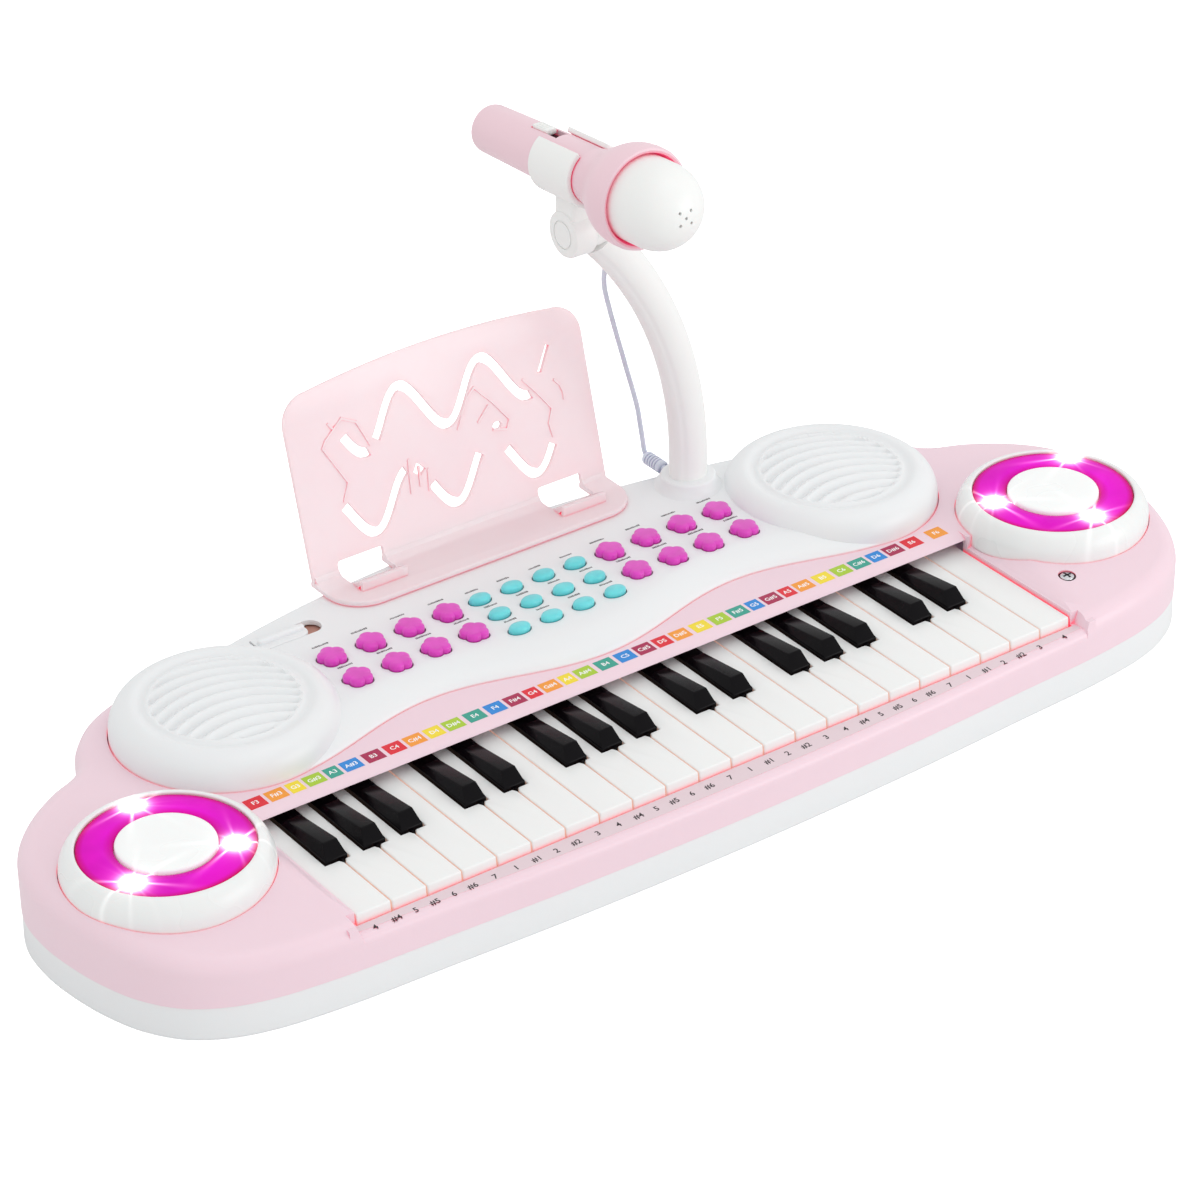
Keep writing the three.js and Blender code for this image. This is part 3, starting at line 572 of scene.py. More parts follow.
def rubber(name, colour, rough, dark):
    """Silicone: soft sheen, and painted shade of a deeper colour low down beside the panel."""
    finish = Finish(name)
    # Painted shade: hollows low down beside the panel take the dark colour.
    depth = finish.range(finish.openness(3.2), 0.3, 0.85)
    base = finish.mix(finish.range(finish.noise(160, 3), 0.3, 0.7), linear(dark), linear(colour))
    base = finish.mix(0.8, base, linear(colour))
    finish.set(Base_Color=finish.mix(depth, linear(dark), base))
    finish.set(Roughness=rough, IOR=1.43, Sheen_Weight=0.15, Coat_Weight=0.5, Coat_Roughness=0.16)
    finish.set(Subsurface_Weight=0.2, Subsurface_Radius=(1, 0.5, 0.8), Subsurface_Scale=1.5 * MM)
    finish.bump(finish.noise(500, 3), 0.1, 0.05)
    return finish.material


def metal(name, colour, rough):
    finish = Finish(name)
    finish.set(Base_Color=linear(colour), Metallic=1.0)
    finish.set(Roughness=finish.range(finish.noise(900, 4), 0.3, 0.7, rough, rough + 0.15))
    finish.bump(finish.noise(2500, 2), 0.1, 0.01)
    return finish.material


def ink(name, colour):
    """Printed film: flat colour with slightly uneven cover."""
    finish = Finish(name)
    base = linear(colour)
    thin = tuple(min(1, v * 1.06 + 0.004) for v in base[:3]) + (1,)
    finish.set(Base_Color=finish.mix(finish.range(finish.noise(500, 3), 0.45, 0.8), base, thin))
    finish.set(Roughness=0.4)
    finish.bump(finish.noise(1800, 2), 0.05, 0.01)
    return finish.material


WHITE = plastic("white_shell", "ECEEEF", 0.3, 0.004, soft=0.1).material
PINK = plastic("pink_shell", "F2D7E1", 0.3, 0.008, crevice_glow=RED_GAP_GLOW, soft=0.1).material
STRIP_PINK = plastic("strip_pink", "E6D2D8", 0.45, 0.008, crevice_glow=STRIP_GAP_GLOW).material
KEY_WHITE = plastic("key_white", "F1F2F1", 0.25, 0.004, crevice_glow=WARM_GAP_GLOW, soft=0.1).material
KEY_BLACK = plastic("key_black", "070508", 0.2, 0.03, peel=0.03, spec=0.12).material
MIC_WHITE = plastic("mic_white", "F4F5F3", 0.32, 0.004, soft=0.1).material
MIC_PINK = plastic("mic_pink", "F2D2DB", 0.34, 0.008, crevice_glow=MIC_GAP_GLOW).material
LIT_WHITE = {side: lit_plastic(side) for side in (-1, 1)}
LIT_PAD = {side: lit_plastic(side, 0.1) for side in (-1, 1)}
LENS = {side: lens_plastic(side) for side in (-1, 1)}
CLEAR = clear_pink()
FLOWER_RUBBER = rubber("flower_rubber", "E236C4", 0.34, "A80C80")
TEAL_RUBBER = rubber("teal_rubber", "6ADEE3", 0.36, "1F98A2")
CABLE = rubber("cable_rubber", "DADFEC", 0.5, "A8ACC6")
SCREW = metal("screw_metal", "D8D8DC", 0.12)
SPEAKER_METAL = metal("speaker_metal", "8A8D92", 0.35)
BOARD = plastic("board_lacquer", "2E6B45", 0.45, 0.05).material
# Painted shade for the hollow under the power switch's slot.
SLOT_SHADE = plastic("slot_hole_shade", "C08C7E", 0.6, 0.03).material
SHADOW = plastic("screw_shadow", "1A181C", 0.5, 0.03).material
PRINT = ink("print_dark", "2A2026")
PRINT_WHITE = ink("print_white", "FFFFFF")


def finish_with(obj, material, slot, body, *nodes):
    """Material, record slot (not used), body and the CAD nodes that a new piece stands for."""
    obj.data.materials.clear()
    obj.data.materials.append(material)
    if nodes:
        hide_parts(*nodes)
    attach(obj, body)
    return obj


# ------------------------------------------------------------ casing

def case_outline():
    """The casing's outline, smoothed through the ring of points just above the lower casing's edge."""
    ring_height, slack, centre_y = 2.5, 0.04, 90
    points = {}
    for vertex in frame["nodes"]["bottom_case"].data.vertices:
        x, y, z = vertex.co / MM
        if abs(z - ring_height) < slack:
            points[(round(x, 2), round(y, 2))] = math.atan2(y - centre_y, x)
    ring = sorted(points, key=points.get)
    return smooth_outline(ring, 6, closed=True)


OUTLINE = case_outline()
EDGE_R = 9
WALL_END = 17
LEDGE_BACK = -1.6
HOLE_FLOOR = 41
ABOVE = 70


def inset(points, distance):
    result = []
    for i, (x, y) in enumerate(points):
        before = Vector(points[i - 1])
        after = Vector(points[(i + 1) % len(points)])
        along = (after - before).normalized()
        result.append((x - along.y * distance, y + along.x * distance))
    return result


def shoulder(y):
    """Height of the casing's top, which climbs from the front to the drums and is level behind them."""
    front, run, blend, sharpness = 40.5, 50, 1.6, 3
    climb = front + (CASE_TOP - front) * y / run
    gap = (CASE_TOP - climb) / blend
    bend = math.log1p(math.exp(-abs(gap) * sharpness)) / sharpness
    return CASE_TOP - blend * bend - max(0, gap) * blend


def upper_form(name, wall, floor):
    """The casing's full form with a rounded top edge, or with a wall its inside; no net over the keys."""
    radius = EDGE_R - wall
    rings = [at(inset(OUTLINE, wall), floor)]
    steps = 10
    for k in range(steps + 1):
        angle = k / steps * TAU / 4
        inwards = wall + radius * (1 - math.cos(angle))
        drop = wall + radius * (1 - math.sin(angle))
        ring = inset(OUTLINE, inwards)
        rings.append([(x, y, shoulder(OUTLINE[i][1]) - drop) for i, (x, y) in enumerate(ring)])
    return domed(name, rings, lambda x, y: shoulder(y) - wall, 14,
                 region=lambda x, y: abs(x) > KEYBED_HALF - 10 or y > 60)


def panel_outline(front, back, half=None):
    """The control panel's outline: waves in front, a gentle bow behind, inset by front and back."""
    half = half or DOME.x
    wave, front_y, back_y, bow = 8.3, 92.7, 212, 0.00083
    front_steps, back_steps = 96, 40
    points = []
    for i in range(front_steps + 1):
        x = -half + 2 * half * i / front_steps
        points.append((x, front_y + wave * (1 - math.cos(TAU * x / DOME.x)) + front))
    for i in range(back_steps + 1):
        x = half - 2 * half * i / back_steps
        points.append((x, back_y - bow * x * x - back))
    return points


def both_sides(make):
    """A piece and its mirror image, from a function of the side."""
    return [make(side) for side in (-1, 1)]


def front_strip(name, half, section, steps=60):
    """Solid along the front of the keys; section(y) is its (y, z) profile where the casing starts at y."""
    rings = []
    for i in range(steps + 1):
        x = half * (2 * i / steps - 1)
        rings.append([(x, y, z) for y, z in section(front_y_at(x))])
    return loft_open(name, rings)


SCREW_X = 216
SCREW_Y = 22.3
SCREW_Z = shoulder(SCREW_Y) - 0.9
SCREW_WELL_R = 4.3


def front_y_at(x):
    """The outline's y on the front side at x."""
    for a, b in zip(OUTLINE, OUTLINE[1:] + OUTLINE[:1]):
        if a[0] <= x < b[0] and a[1] < 60:
            return a[1] + (b[1] - a[1]) * (x - a[0]) / (b[0] - a[0])
    return 0


def ledge_gap():
    """All that is cut away above the ledge in front of the keys, down to its rounded front edge."""
    half, radius, flare, steps = KEYBED_HALF + 2.2, 4, 0.35, 60
    rings = []
    for i in range(steps + 1):
        share = 2 * i / steps - 1
        y = front_y_at(share * half)
        arc = [(y + radius * (1 - math.cos(a)), STRIP_Z - radius * (1 - math.sin(a)))
               for a in (TAU / 4 * k / 6 for k in range(7))]
        profile = [(y - 6, STRIP_Z - radius)] + arc + [(0, STRIP_Z), (0, ABOVE), (y - 6, ABOVE)]
        rings.append([(share * (half + max(0, b - STRIP_Z) * flare), a, b) for a, b in profile])
    return loft_open("ledge_gap", rings)


def well_walls():
    """The thick walls at both ends of the keys, and the ledge in front of them."""
    half, low, top = KEYBED_HALF, 20, 37.5
    profile = [(-3, low), (RAIL_Y + 3, low), (RAIL_Y + 3, 44.6), (50, 44.6), (-0.2, 39.2), (-3, 39)]
    walls = [bar_x("wall", profile, x, x + WALL_END) for x in (half, -half - WALL_END)]
    ledge = front_strip("ledge", half + 8, lambda y: [(y + 0.8, low), (y + 0.8, top), (LEDGE_BACK, top),
                                                      (LEDGE_BACK, low)])
    return walls + [ledge]


def well_slopes():
    """The soft slopes by which the casing comes down to the height of the keys at their two ends."""
    slope = [(-3, 39.2), (0.9, 39.6), (3, 41), (6, 42.7), (9.5, 44.2), (13, 45.3), (WALL_END, 46.1),
             (WALL_END, ABOVE), (-3, ABOVE)]
    return both_sides(lambda side: loft_open("slope", [
        [(side * (KEYBED_HALF + x), y, z) for x, z in slope] for y in (-20, RAIL_Y)]))


def upper_casing():
    body = upper_form("upper_casing", 0, PARTING)
    hollow = upper_form("hollow", 2.4, PARTING - 1)
    half = KEYBED_HALF
    rail = [(60, ABOVE), (60, 40.8), (RAIL_Y, 41.3), (RAIL_Y + 0.7, 42.6), (RAIL_Y + 2.2, 44.1),
            (RAIL_Y + 4.2, 45.2), (RAIL_Y + 6.6, 45.8), (RAIL_Y + 9, 45.98), (RAIL_Y + 9, ABOVE)]
    tools = [ledge_gap(), bar_x("rail_face", rail, -half, half)]
    for side in (-1, 1):
        tools.append(prism("drum_hole", circle(side * DRUM.x, DRUM.y, DRUM_R + 0.4), 30, ABOVE))
        tools.append(prism("dome_hole", circle(side * DOME.x, DOME.y, DOME_R + 0.5), HOLE_FLOOR, ABOVE))
    tools.append(prism("panel_hole", panel_outline(-0.4, -0.4, DOME.x + 4), HOLE_FLOOR, ABOVE))
    tools.append(prism("screw_hole", circle(SCREW_X, SCREW_Y, SCREW_WELL_R, 40), SCREW_Z, ABOVE))
    cavity = block("cavity", (-half, LEDGE_BACK, 10), (half, RAIL_Y, ABOVE))
    body = cut(body, hollow)
    body = join(body, *well_walls())
    body = cut(body, cavity, *tools, *well_slopes())
    return finish_with(body, PINK, "pink_shell", "case", "top_case")


def key_strip():
    """The thin film on the ledge in front of the keys, which carries their numbers."""
    margin, back, top = 4.4, -1.8, STRIP_Z + 0.12
    film = front_strip("key_strip", KEYBED_HALF + 1.6, lambda y: [
        (y + margin, STRIP_Z), (y + margin, top), (back, top), (back, STRIP_Z)])
    return finish_with(film, STRIP_PINK, "pink_shell", "case")


def lower_casing():
    levels = [(0, 2), (0.3, 1.2), (0.9, 0.5), (1.7, 0.12), (2.6, 0), (PARTING - 0.2, 0.3)]
    body = loft("lower_casing", [at(inset(OUTLINE, d), z) for z, d in levels])
    hollow = loft("hollow", [at(inset(OUTLINE, d), z) for z, d in ((2.4, 5), (PARTING + 1, 2.8))])
    body = cut(body, hollow)
    cover_low, cover_high = span("battery_cover")
    x = cover_high.x + 2.7
    y0, y1 = cover_low.y - 2.7, cover_high.y + 2.7
    wall = 2.4
    body = join(body, block("battery_box", (-x, y0, 1.4), (x, y1, 18)))
    tools = [block("battery_room", (-x + wall, y0 + wall, -1), (x - wall, y1 - wall, 18 - wall))]
    for side in (-1, 1):
        for px, py in ((70, 20), (160, 20), (240, 40), (255, 120), (120, 185)):
            tools.append(prism("screw_well", circle(side * px, py, 4, 32), -1, 1.7))
        for i in range(-3, 4):
            x0, y = side * 134 - 16, 145 + 6 * i
            slot = [(x0, y - 1.6), (x0 + 32, y - 1.6), (x0 + 32, y + 1.6), (x0, y + 1.6)]
            tools.append(prism("vent", fillet(slot, 1.5, 4), -1, 6))
    return finish_with(cut(body, *tools), WHITE, "white_shell", "case", "bottom_case")


def battery_cover():
    low, high = span("battery_cover")
    plate = fillet([(low.x, low.y), (high.x, low.y), (high.x, high.y - 3), (low.x, high.y - 3)], 2, 4)
    body = rounded(prism("battery_door", plate, 0.4, 2.6), 0.4, 2)
    tongue = block("tongue", (-8, high.y - 7, 1.8), (8, high.y - 3.4, 7))
    hook = block("hook", (low.x + 4, low.y + 0.2, 1.8), (high.x - 4, low.y + 1.6, 6))
    ridges = [block("ridge", (-14, y, 0), (14, y + 1.2, 1))
              for y in (high.y - 14 + 2.4 * i for i in range(4))]
    body = cut(join(body, tongue, hook), *ridges)
    return finish_with(body, WHITE, "white_shell", "battery_cover", "battery_cover")


def cross(name, x, y, reach, half, z0, z1):
    """Two crossed bars, the shape that a screwdriver fits."""
    return [block(name, (x - a, y - b, z0), (x + a, y + b, z1)) for a, b in ((reach, half), (half, reach))]


def casing_screw():
    x, y, z = SCREW_X, SCREW_Y, SCREW_Z
    head = turned("casing_screw", [(0, z - 2), (3.4, z - 2), (3.6, z + 0.1), (3.3, z + 0.7), (2.4, z + 1.15),
                                   (1.2, z + 1.35), (0, z + 1.4)], (x, y, 0), 40)
    finish_with(cut(head, *cross("slot", x, y, 2.3, 0.6, z + 0.2, z + 3)), SCREW, "case_screw", "case")
    hole = prism("hole", circle(x, y, 3.7, 40), z - 1, z + 1)
    # Painted shadow: a dark ring on the well's floor round the head, and a dark cross at the bottom of the
    # slot.
    ring = cut(prism("screw_ring_shadow", circle(x, y, SCREW_WELL_R - 0.05, 40), z, z + 0.5), hole)
    finish_with(ring, SHADOW, "case_screw", "case")
    shadow = join(*cross("screw_cross_shadow", x, y, 2.2, 0.5, z + 0.22, z + 0.7))
    finish_with(shadow, SHADOW, "case_screw", "case")


# ------------------------------------------------------------ control panel

GROOVE_GAP = 7.6
DISC_R = 34.8


def dome_height(x, y):
    """Height of the speaker cover: a crowned disc with shallow curved grooves across it."""
    dx = x - DOME.x if x > 0 else x + DOME.x
    dy = y - DOME.y
    radius = math.hypot(dx, dy)
    crown = 61.3 + 2.2 * (1 - (radius / DISC_R) ** 2)
    across = (dy + 0.0105 * (dx + 9) ** 2 + 1.5) / GROOVE_GAP
    wave = 0.5 + 0.5 * math.cos(TAU * across)
    fade = min(1, max(0, (DISC_R - 0.6 - radius) / 2.2))
    return crown - 2.5 * fade * fade * (3 - 2 * fade) * wave**1.1


def speaker_dome(side):
    profile = [(DOME_R, PANEL_SKIRT), (DOME_R, 48), (DOME_R - 0.15, 50.2), (51.5, 53), (50.3, 55.8),
               (48.5, 58.2), (46.4, 59.9), (44.8, 60.8), (43.3, 61.35), (42, 61.6), (40.7, 61.55),
               (39.5, 61.15), (38.6, 60.75), (37.8, 60.5), (36.8, 60.45), (35.8, 60.75), (35.3, 61.05),
               (DISC_R, 61.3)]
    curve = profile[:1] + smooth_outline(profile[1:], 2)
    rings = [at(circle(side * DOME.x, DOME.y, r, 144), z) for r, z in curve]
    return domed("dome", rings, dome_height, 1.1)


def panel_form():
    levels = [(PANEL_SKIRT, 0, 0), (46.6, 0.1, 0.1), (47.6, 0.7, 0.5), (48.6, 1.7, 0.9), (50, 3.8, 1.3),
              (51.4, 6.6, 1.8), (52.6, 9.8, 2.5), (53.4, 12.8, 3.4), (53.85, 15, 4.4), (PANEL_TOP, 17, 5.4)]
    return loft("control_panel_shell", [at(panel_outline(front, back), z) for z, front, back in levels])


def flower_places():
    xs = (46.1, 67.1, 88.2, 109.3)
    return [(side * x, y) for y in (132.1, 153.4) for x in xs for side in (-1, 1)]


def oval_places():
    return [(x, y) for y in (122.6, 138.6, 154.4) for x in (-27.5, -9.5, 8.5, 26.5)]


FLOWER_R = 7.1
OVAL_HALF = (5.6, 3.85)
CAP_BASE = 49.6
SLOT_X = (span("power_slider")[0].x + 3, -97)
SLOT_Y = (span("power_slider")[0].y + 2, span("power_slider")[1].y - 2)


def flower_outline(x, y, radius, count=80):
    points = []
    for i in range(count):
        angle = TAU * i / count
        swing = (angle - TAU / 4 + TAU / 10) % (TAU / 5) - TAU / 10
        reach = radius * (0.48 * math.cos(swing) + math.sqrt(0.2704 - (0.48 * math.sin(swing)) ** 2))
        points.append((x + reach * math.cos(angle), y + reach * math.sin(angle)))
    return points


def control_panel():
    body = join(panel_form(), *both_sides(speaker_dome), sharp=24)
    collar = [(0, 53), (17.5, 53), (16.6, 54.1), (15.6, 54.9), (14.6, 56.2), (13.9, 57.8), (13.5, 59.3),
              (12.9, 60), (11.6, 60.2), (0, 60.2)]
    ring = turned("collar", collar, (ARM_X, ARM_Y, 0), 72)
    holes = [flower_outline(x, y, FLOWER_R + 0.55) for x, y in flower_places()]
    holes += [ellipse(x, y, OVAL_HALF[0] + 0.5, OVAL_HALF[1] + 0.5) for x, y in oval_places()]
    (x0, x1), (y0, y1) = SLOT_X, SLOT_Y
    end_r = (y1 - y0) / 2 - 0.1
    holes.append(fillet([(x0, y0), (x1, y0), (x1, y1), (x0, y1)], [1.2, end_r, end_r, 1.2], 10))
    tools = [prism("hole", outline, 47, ABOVE) for outline in holes]
    tools.append(loft("room", [at(panel_outline(3, 3), 40), at(panel_outline(17, 7), 51.6)]))
    body = join(body, ring, sharp=24)
    body = cut(body, *tools, sharp=24)
    return finish_with(body, WHITE, "white_shell", "case", "control_panel")


def slot_floor():
    """Painted shade: a block that stands for the dark space seen at the end of the power switch's slot."""
    x0, x1 = SLOT_X
    # Painted shade: this block is coloured as the dark space in the slot.
    floor = block("switch_well_shade", (x0 - 1, SLOT_Y[0] - 1, 50), (x1 + 1, SLOT_Y[1] + 1, 50.6))
    return finish_with(floor, SLOT_SHADE, "circuit_board", "case")


def power_knob():
    travel_room = 7.9
    x0, x1 = SLOT_X[0] + 0.7, SLOT_X[1] - travel_room
    y0, y1 = SLOT_Y[0] + 0.12, SLOT_Y[1] - 0.12
    centre = (y0 + y1) / 2
    outline = fillet([(x0, y0), (x1, y0), (x1, y1), (x0, y1)], [0.6, 4.2, 4.2, 0.6], 8)
    cap = rounded(prism("power_knob", outline, 50.7, PANEL_TOP + 0.5), 0.5, 3)
    ridge = rounded(block("ridge", (x0 + 1, centre - 1.5, 53), (x1 - 0.8, centre + 1.5, 56.8)), 1.2, 4)
    return finish_with(join(cap, ridge), WHITE, "white_shell", "power_switch", "power_slider")


def flower_cap(i, x, y):
    top = PANEL_TOP + 3.2
    levels = [(CAP_BASE, 1.0), (top - 1.3, 0.985), (top - 0.8, 0.95), (top - 0.4, 0.88), (top - 0.15, 0.78),
              (top - 0.04, 0.62), (top, 0.35)]
    cap = loft(f"flower_button_{i + 1}", [at(flower_outline(x, y, FLOWER_R * s), z) for z, s in levels])
    return finish_with(cap, FLOWER_RUBBER, "flower_rubber", "flower_buttons")


def oval_cap(i, x, y):
    top = PANEL_TOP + 3
    levels = [(CAP_BASE, 1.0), (top - 1.6, 0.985), (top - 1, 0.94), (top - 0.5, 0.85), (top - 0.2, 0.7),
              (top, 0.4)]
    rings = [at(ellipse(x, y, OVAL_HALF[0] * s, OVAL_HALF[1] * s), z) for z, s in levels]
    cap = loft(f"instrument_button_{i + 1}", rings)
    return finish_with(cap, TEAL_RUBBER, "teal_rubber", "instrument_buttons")


def button_mats():
    """The caps, and under the panel the web each bank is moulded on."""
    for i, (x, y) in enumerate(flower_places()):
        flower_cap(i, x, y)
    for i, (x, y) in enumerate(oval_places()):
        oval_cap(i, x, y)
    z0 = span("flower_button_mat")[0].z
    z1 = z0 + 1.2
    wings = [rounded(block("flower_web", (x, 122, z0), (x + 75, 164, z1)), 0.3, 1) for x in (-117, 42)]
    bridge = block("bridge", (-60, 163, z0 + 0.1), (60, 165, z1 - 0.1))
    finish_with(join(*wings, bridge), FLOWER_RUBBER, "flower_rubber", "flower_buttons", "flower_button_mat")
    web = rounded(block("instrument_web", (-38, 115.5, z0), (38, 162, z1)), 0.3, 1)
    finish_with(web, TEAL_RUBBER, "teal_rubber", "instrument_buttons", "instrument_button_mat")


def button_marks():
    """A row of fine printed strokes behind each button, where a name would be; none of it is lettering."""
    marks = []
    for x, y in flower_places() + oval_places():
        rise, length = (12, 8) if abs(x) > 40 else (8.9, 6.6)
        left = x + 1.4 - length / 2
        here = left
        while here < left + length:
            width = random.choice((0.35, 0.5, 0.7))
            height = 2 * random.choice((0.45, 0.6, 0.6))
            low = (here, y + rise, PANEL_TOP - 0.05)
            marks.append(block("mark", low, (here + width, y + rise + height, PANEL_TOP + 0.04)))
            here += width + 0.3
    finish_with(gather("button_marks", marks), PRINT, "note_label", "case")


# ------------------------------------------------------------ drums

def drum(side):
    name = "left" if side < 0 else "right"
    centre = (side * DRUM.x, DRUM.y, 0)
    rim = [(DRUM_R, 40), (DRUM_R, 46.4), (DRUM_R - 0.15, 48.2), (45.7, 50), (44.9, 51.9), (43.7, 53.9),
           (42.2, 55.6), (40.9, 56.5), (39.9, 56.85), (39.1, 56.8), (38.75, 56.4), (38.7, 52), (44, 44),
           (44, 40)]
    profile = rim[:1] + smooth_outline(rim[1:11], 3) + rim[11:]
    body = turned(f"{name}_rim", profile, centre, 144)
    finish_with(body, LIT_WHITE[side], "white_shell", "case", f"{name}_drum_rim")
    lens = [(PAD_R + 0.5, 52.3), (LENS_R, 52.3), (LENS_R, 55.5), (LENS_R - 0.5, 55.95), (35, 56.25),
            (31, 56.65), (27, 56.8), (24, 56.6), (PAD_R + 0.9, 56.2), (PAD_R + 0.5, 55.8)]
    ring = turned(f"{name}_lens", lens, centre, 144)
    finish_with(ring, LENS[side], "drum_lens", "case", f"{name}_drum_lens")
    pad = [(0, 49), (PAD_R + 2.6, 49), (PAD_R + 2.6, 50.4), (PAD_R, 50.6), (PAD_R, 57), (PAD_R - 0.3, 57.6),
           (PAD_R - 1, 58.05), (PAD_R - 2.4, 58.3), (PAD_R - 6, 58.5), (PAD_R - 12, 58.64), (0, PAD_TOP)]
    disc = turned(f"{name}_pad", pad, centre, 120)
    finish_with(disc, LIT_PAD[side], "drum_pad", f"{name}_drum", f"{name}_drum_pad")


# ------------------------------------------------------------ keys

def white_key(i, node):
    left = KEYS_LEFT + PITCH * i + KEY_GAP / 2
    right = left + PITCH - KEY_GAP
    back = span(node)[1].y
    notch = BLACK_FRONT - 0.8
    sides = [(a - 0.8, b + 0.8) for a, b in BLACK_SPANS]
    back_left = next((b for a, b in sides if a < left < b), left)
    back_right = next((a for a, b in sides if a < right < b), right)

    def outline(front):
        points = [(left, front), (right, front)]
        if back_right != right:
            points += [(right, notch - 2.4), (right - 1.2, notch), (back_right, notch)]
        points += [(back_right, back), (back_left, back)]
        if back_left != left:
            points += [(back_left, notch), (left + 1.2, notch), (left, notch - 2.4)]
        return points

    body = loft(f"white_{i + 1}", [at(outline(-1), KEY_FOOT), at(outline(0), KEY_TOP)])
    body = rounded(body, 0.75, 4)
    return finish_with(body, KEY_WHITE, "white_key", node, node)


def black_key(i, node):
    low, high = span(node)
    x = (low.x + high.x) / 2
    half = (high.x - low.x) / 2
    top_half = half - 2.0
    rail = RAIL_Y - 0.4

    def ring(h, front, back, z_front, z_back):
        return [(x - h, front, z_front), (x + h, front, z_front),
                (x + h, back, z_back), (x - h, back, z_back)]

    cap = loft(f"black_{i + 1}", [
        ring(half, BLACK_FRONT, rail, KEY_FOOT, KEY_FOOT),
        ring(half, BLACK_FRONT, rail, KEY_TOP + 1.1, KEY_TOP + 1.1),
        ring(half - 0.45, BLACK_FRONT + 0.7, rail, KEY_TOP + 1.6, KEY_TOP + 1.6),
        ring(top_half, BLACK_FRONT + 5, rail, high.z, KEY_TOP + 3.2)])
    cap = rounded(cap, 0.45, 3, angle=20)
    tail = block("tail", (x - half, rail - 1, KEY_FOOT), (x + half, high.y, KEY_TOP + 1))
    seam = KEYS_LEFT + PITCH * round((x - KEYS_LEFT) / PITCH)
    wedge = [(seam, BLACK_FRONT - 3), (seam + 1.3, BLACK_FRONT + 0.5), (seam - 1.3, BLACK_FRONT + 0.5)]
    foot = prism("foot", wedge, KEY_FOOT, KEY_TOP + 0.1)
    return finish_with(join(cap, tail, foot), KEY_BLACK, "black_key", node, node)


# ------------------------------------------------------------ labels and numbers

LABEL_COLOURS = ("E0122A", "F59B2E", "F4DC2E", "A9CC2B", "2BA08C", "1787D8", "A90F4A")
OCTAVE = ("F", "F#", "G", "G#", "A", "A#", "B", "C", "C#", "D", "D#", "E")
SCALE_NUMBERS = ("4", "#4", "5", "#5", "6", "#6", "7", "1", "#1", "2", "#2", "3")


def key_row():
    """(x, half the width free for a label) of every key, from the left, black keys among the white."""
    row = []
    for i in range(len(WHITE_KEYS)):
        left = KEYS_LEFT + PITCH * i
        right = left + PITCH
        free_left = max([b for a, b in BLACK_SPANS if a < left < b] + [left])
        free_right = min([a for a, b in BLACK_SPANS if a < right < b] + [right])
        row.append(((free_left + free_right) / 2, (free_right - free_left) / 2))
        row += [((a + b) / 2, (b - a) / 2) for a, b in BLACK_SPANS if a < right < b]
    return row


def lettering(text, x, y, z, size, bold):
    """Flat raised lettering, centred at x and y, as a mesh."""
    curve = bpy.data.curves.new("text", "FONT")
    curve.body = text
    curve.size = size * MM
    curve.align_x = "CENTER"
    curve.align_y = "CENTER"
    curve.extrude = 0.03 * MM
    curve.offset = bold * MM
    curve.resolution_u = 2
    obj = bpy.data.objects.new("text", curve)
    bpy.context.collection.objects.link(obj)
    bpy.context.view_layer.update()
    mesh = bpy.data.meshes.new_from_object(obj.evaluated_get(bpy.context.evaluated_depsgraph_get()))
    bpy.data.objects.remove(obj)
    letters = bpy.data.objects.new("letters", mesh)
    bpy.context.collection.objects.link(letters)
    mesh.transform(Matrix.Translation(Vector((x, y, z)) * MM))
    return letters


def key_labels():
    """Coloured name labels on the rail behind the keys, and the numbers on the strip before them."""
    tiles = {colour: [] for colour in LABEL_COLOURS}
    names = []
    numbers = []
    y, strip_y, semitones = 85.9, -7, len(OCTAVE)
    for k, (x, free) in enumerate(key_row()):
        half = min(4.6, free - 0.6)
        tile = block("tile", (x - half, y - 4, CASE_TOP - 0.1), (x + half, y + 4, CASE_TOP + 0.07))
        tiles[LABEL_COLOURS[k % len(LABEL_COLOURS)]].append(tile)
        name = f"{OCTAVE[k % semitones]}{3 + (k + 5) // semitones}"
        names.append(lettering(name, x, y, CASE_TOP + 0.08, 3.7, 0.03))
        number = SCALE_NUMBERS[k % semitones]
        numbers.append(lettering(number, x, strip_y, STRIP_Z + 0.13, 4.6, 0.07))
    for i, (colour, group) in enumerate(tiles.items()):
        finish_with(gather(f"labels_{i + 1}", group), ink(f"label_{i + 1}", colour), "note_label", "case")
    finish_with(gather("note_names", names), PRINT_WHITE, "note_label", "case")
    finish_with(gather("strip_numbers", numbers), PRINT, "note_label", "case")


# ------------------------------------------------------------ music stand

STAND_LOW, STAND_HIGH = span("music_stand")
STAND_X = (STAND_LOW.x + STAND_HIGH.x) / 2
STAND_HALF = (STAND_HIGH.x - STAND_LOW.x) / 2
STAND_TILT = math.radians(15)
SHEET = 2.2
TRAY_TOP = 57
TRAY_FRONT = STAND_LOW.y
TRAY_BACK = 211
STAND_HEIGHT = 94.7
WINDOW_X = 57
WINDOW_HALF = 12.6


def wave_slot(x0, x1, middle_y, amplitude, peak, half=2.4, period=46):
    """A slot of even width with round ends along a cosine, in the sheet's own plane."""
    steps = max(6, round((x1 - x0) / 1.6))
    sides = ([], [])
    for i in range(steps + 1):
        x = x0 + (x1 - x0) * i / steps
        angle = TAU * (x - peak) / period
        y = middle_y + amplitude * math.cos(angle)
        slope = -amplitude * TAU / period * math.sin(angle)
        length = math.hypot(1, slope)
        for side, sign in zip(sides, (1, -1)):
            side.append((x + sign * slope / length * half, y - sign * half / length))
    return sides[0] + list(reversed(sides[1]))


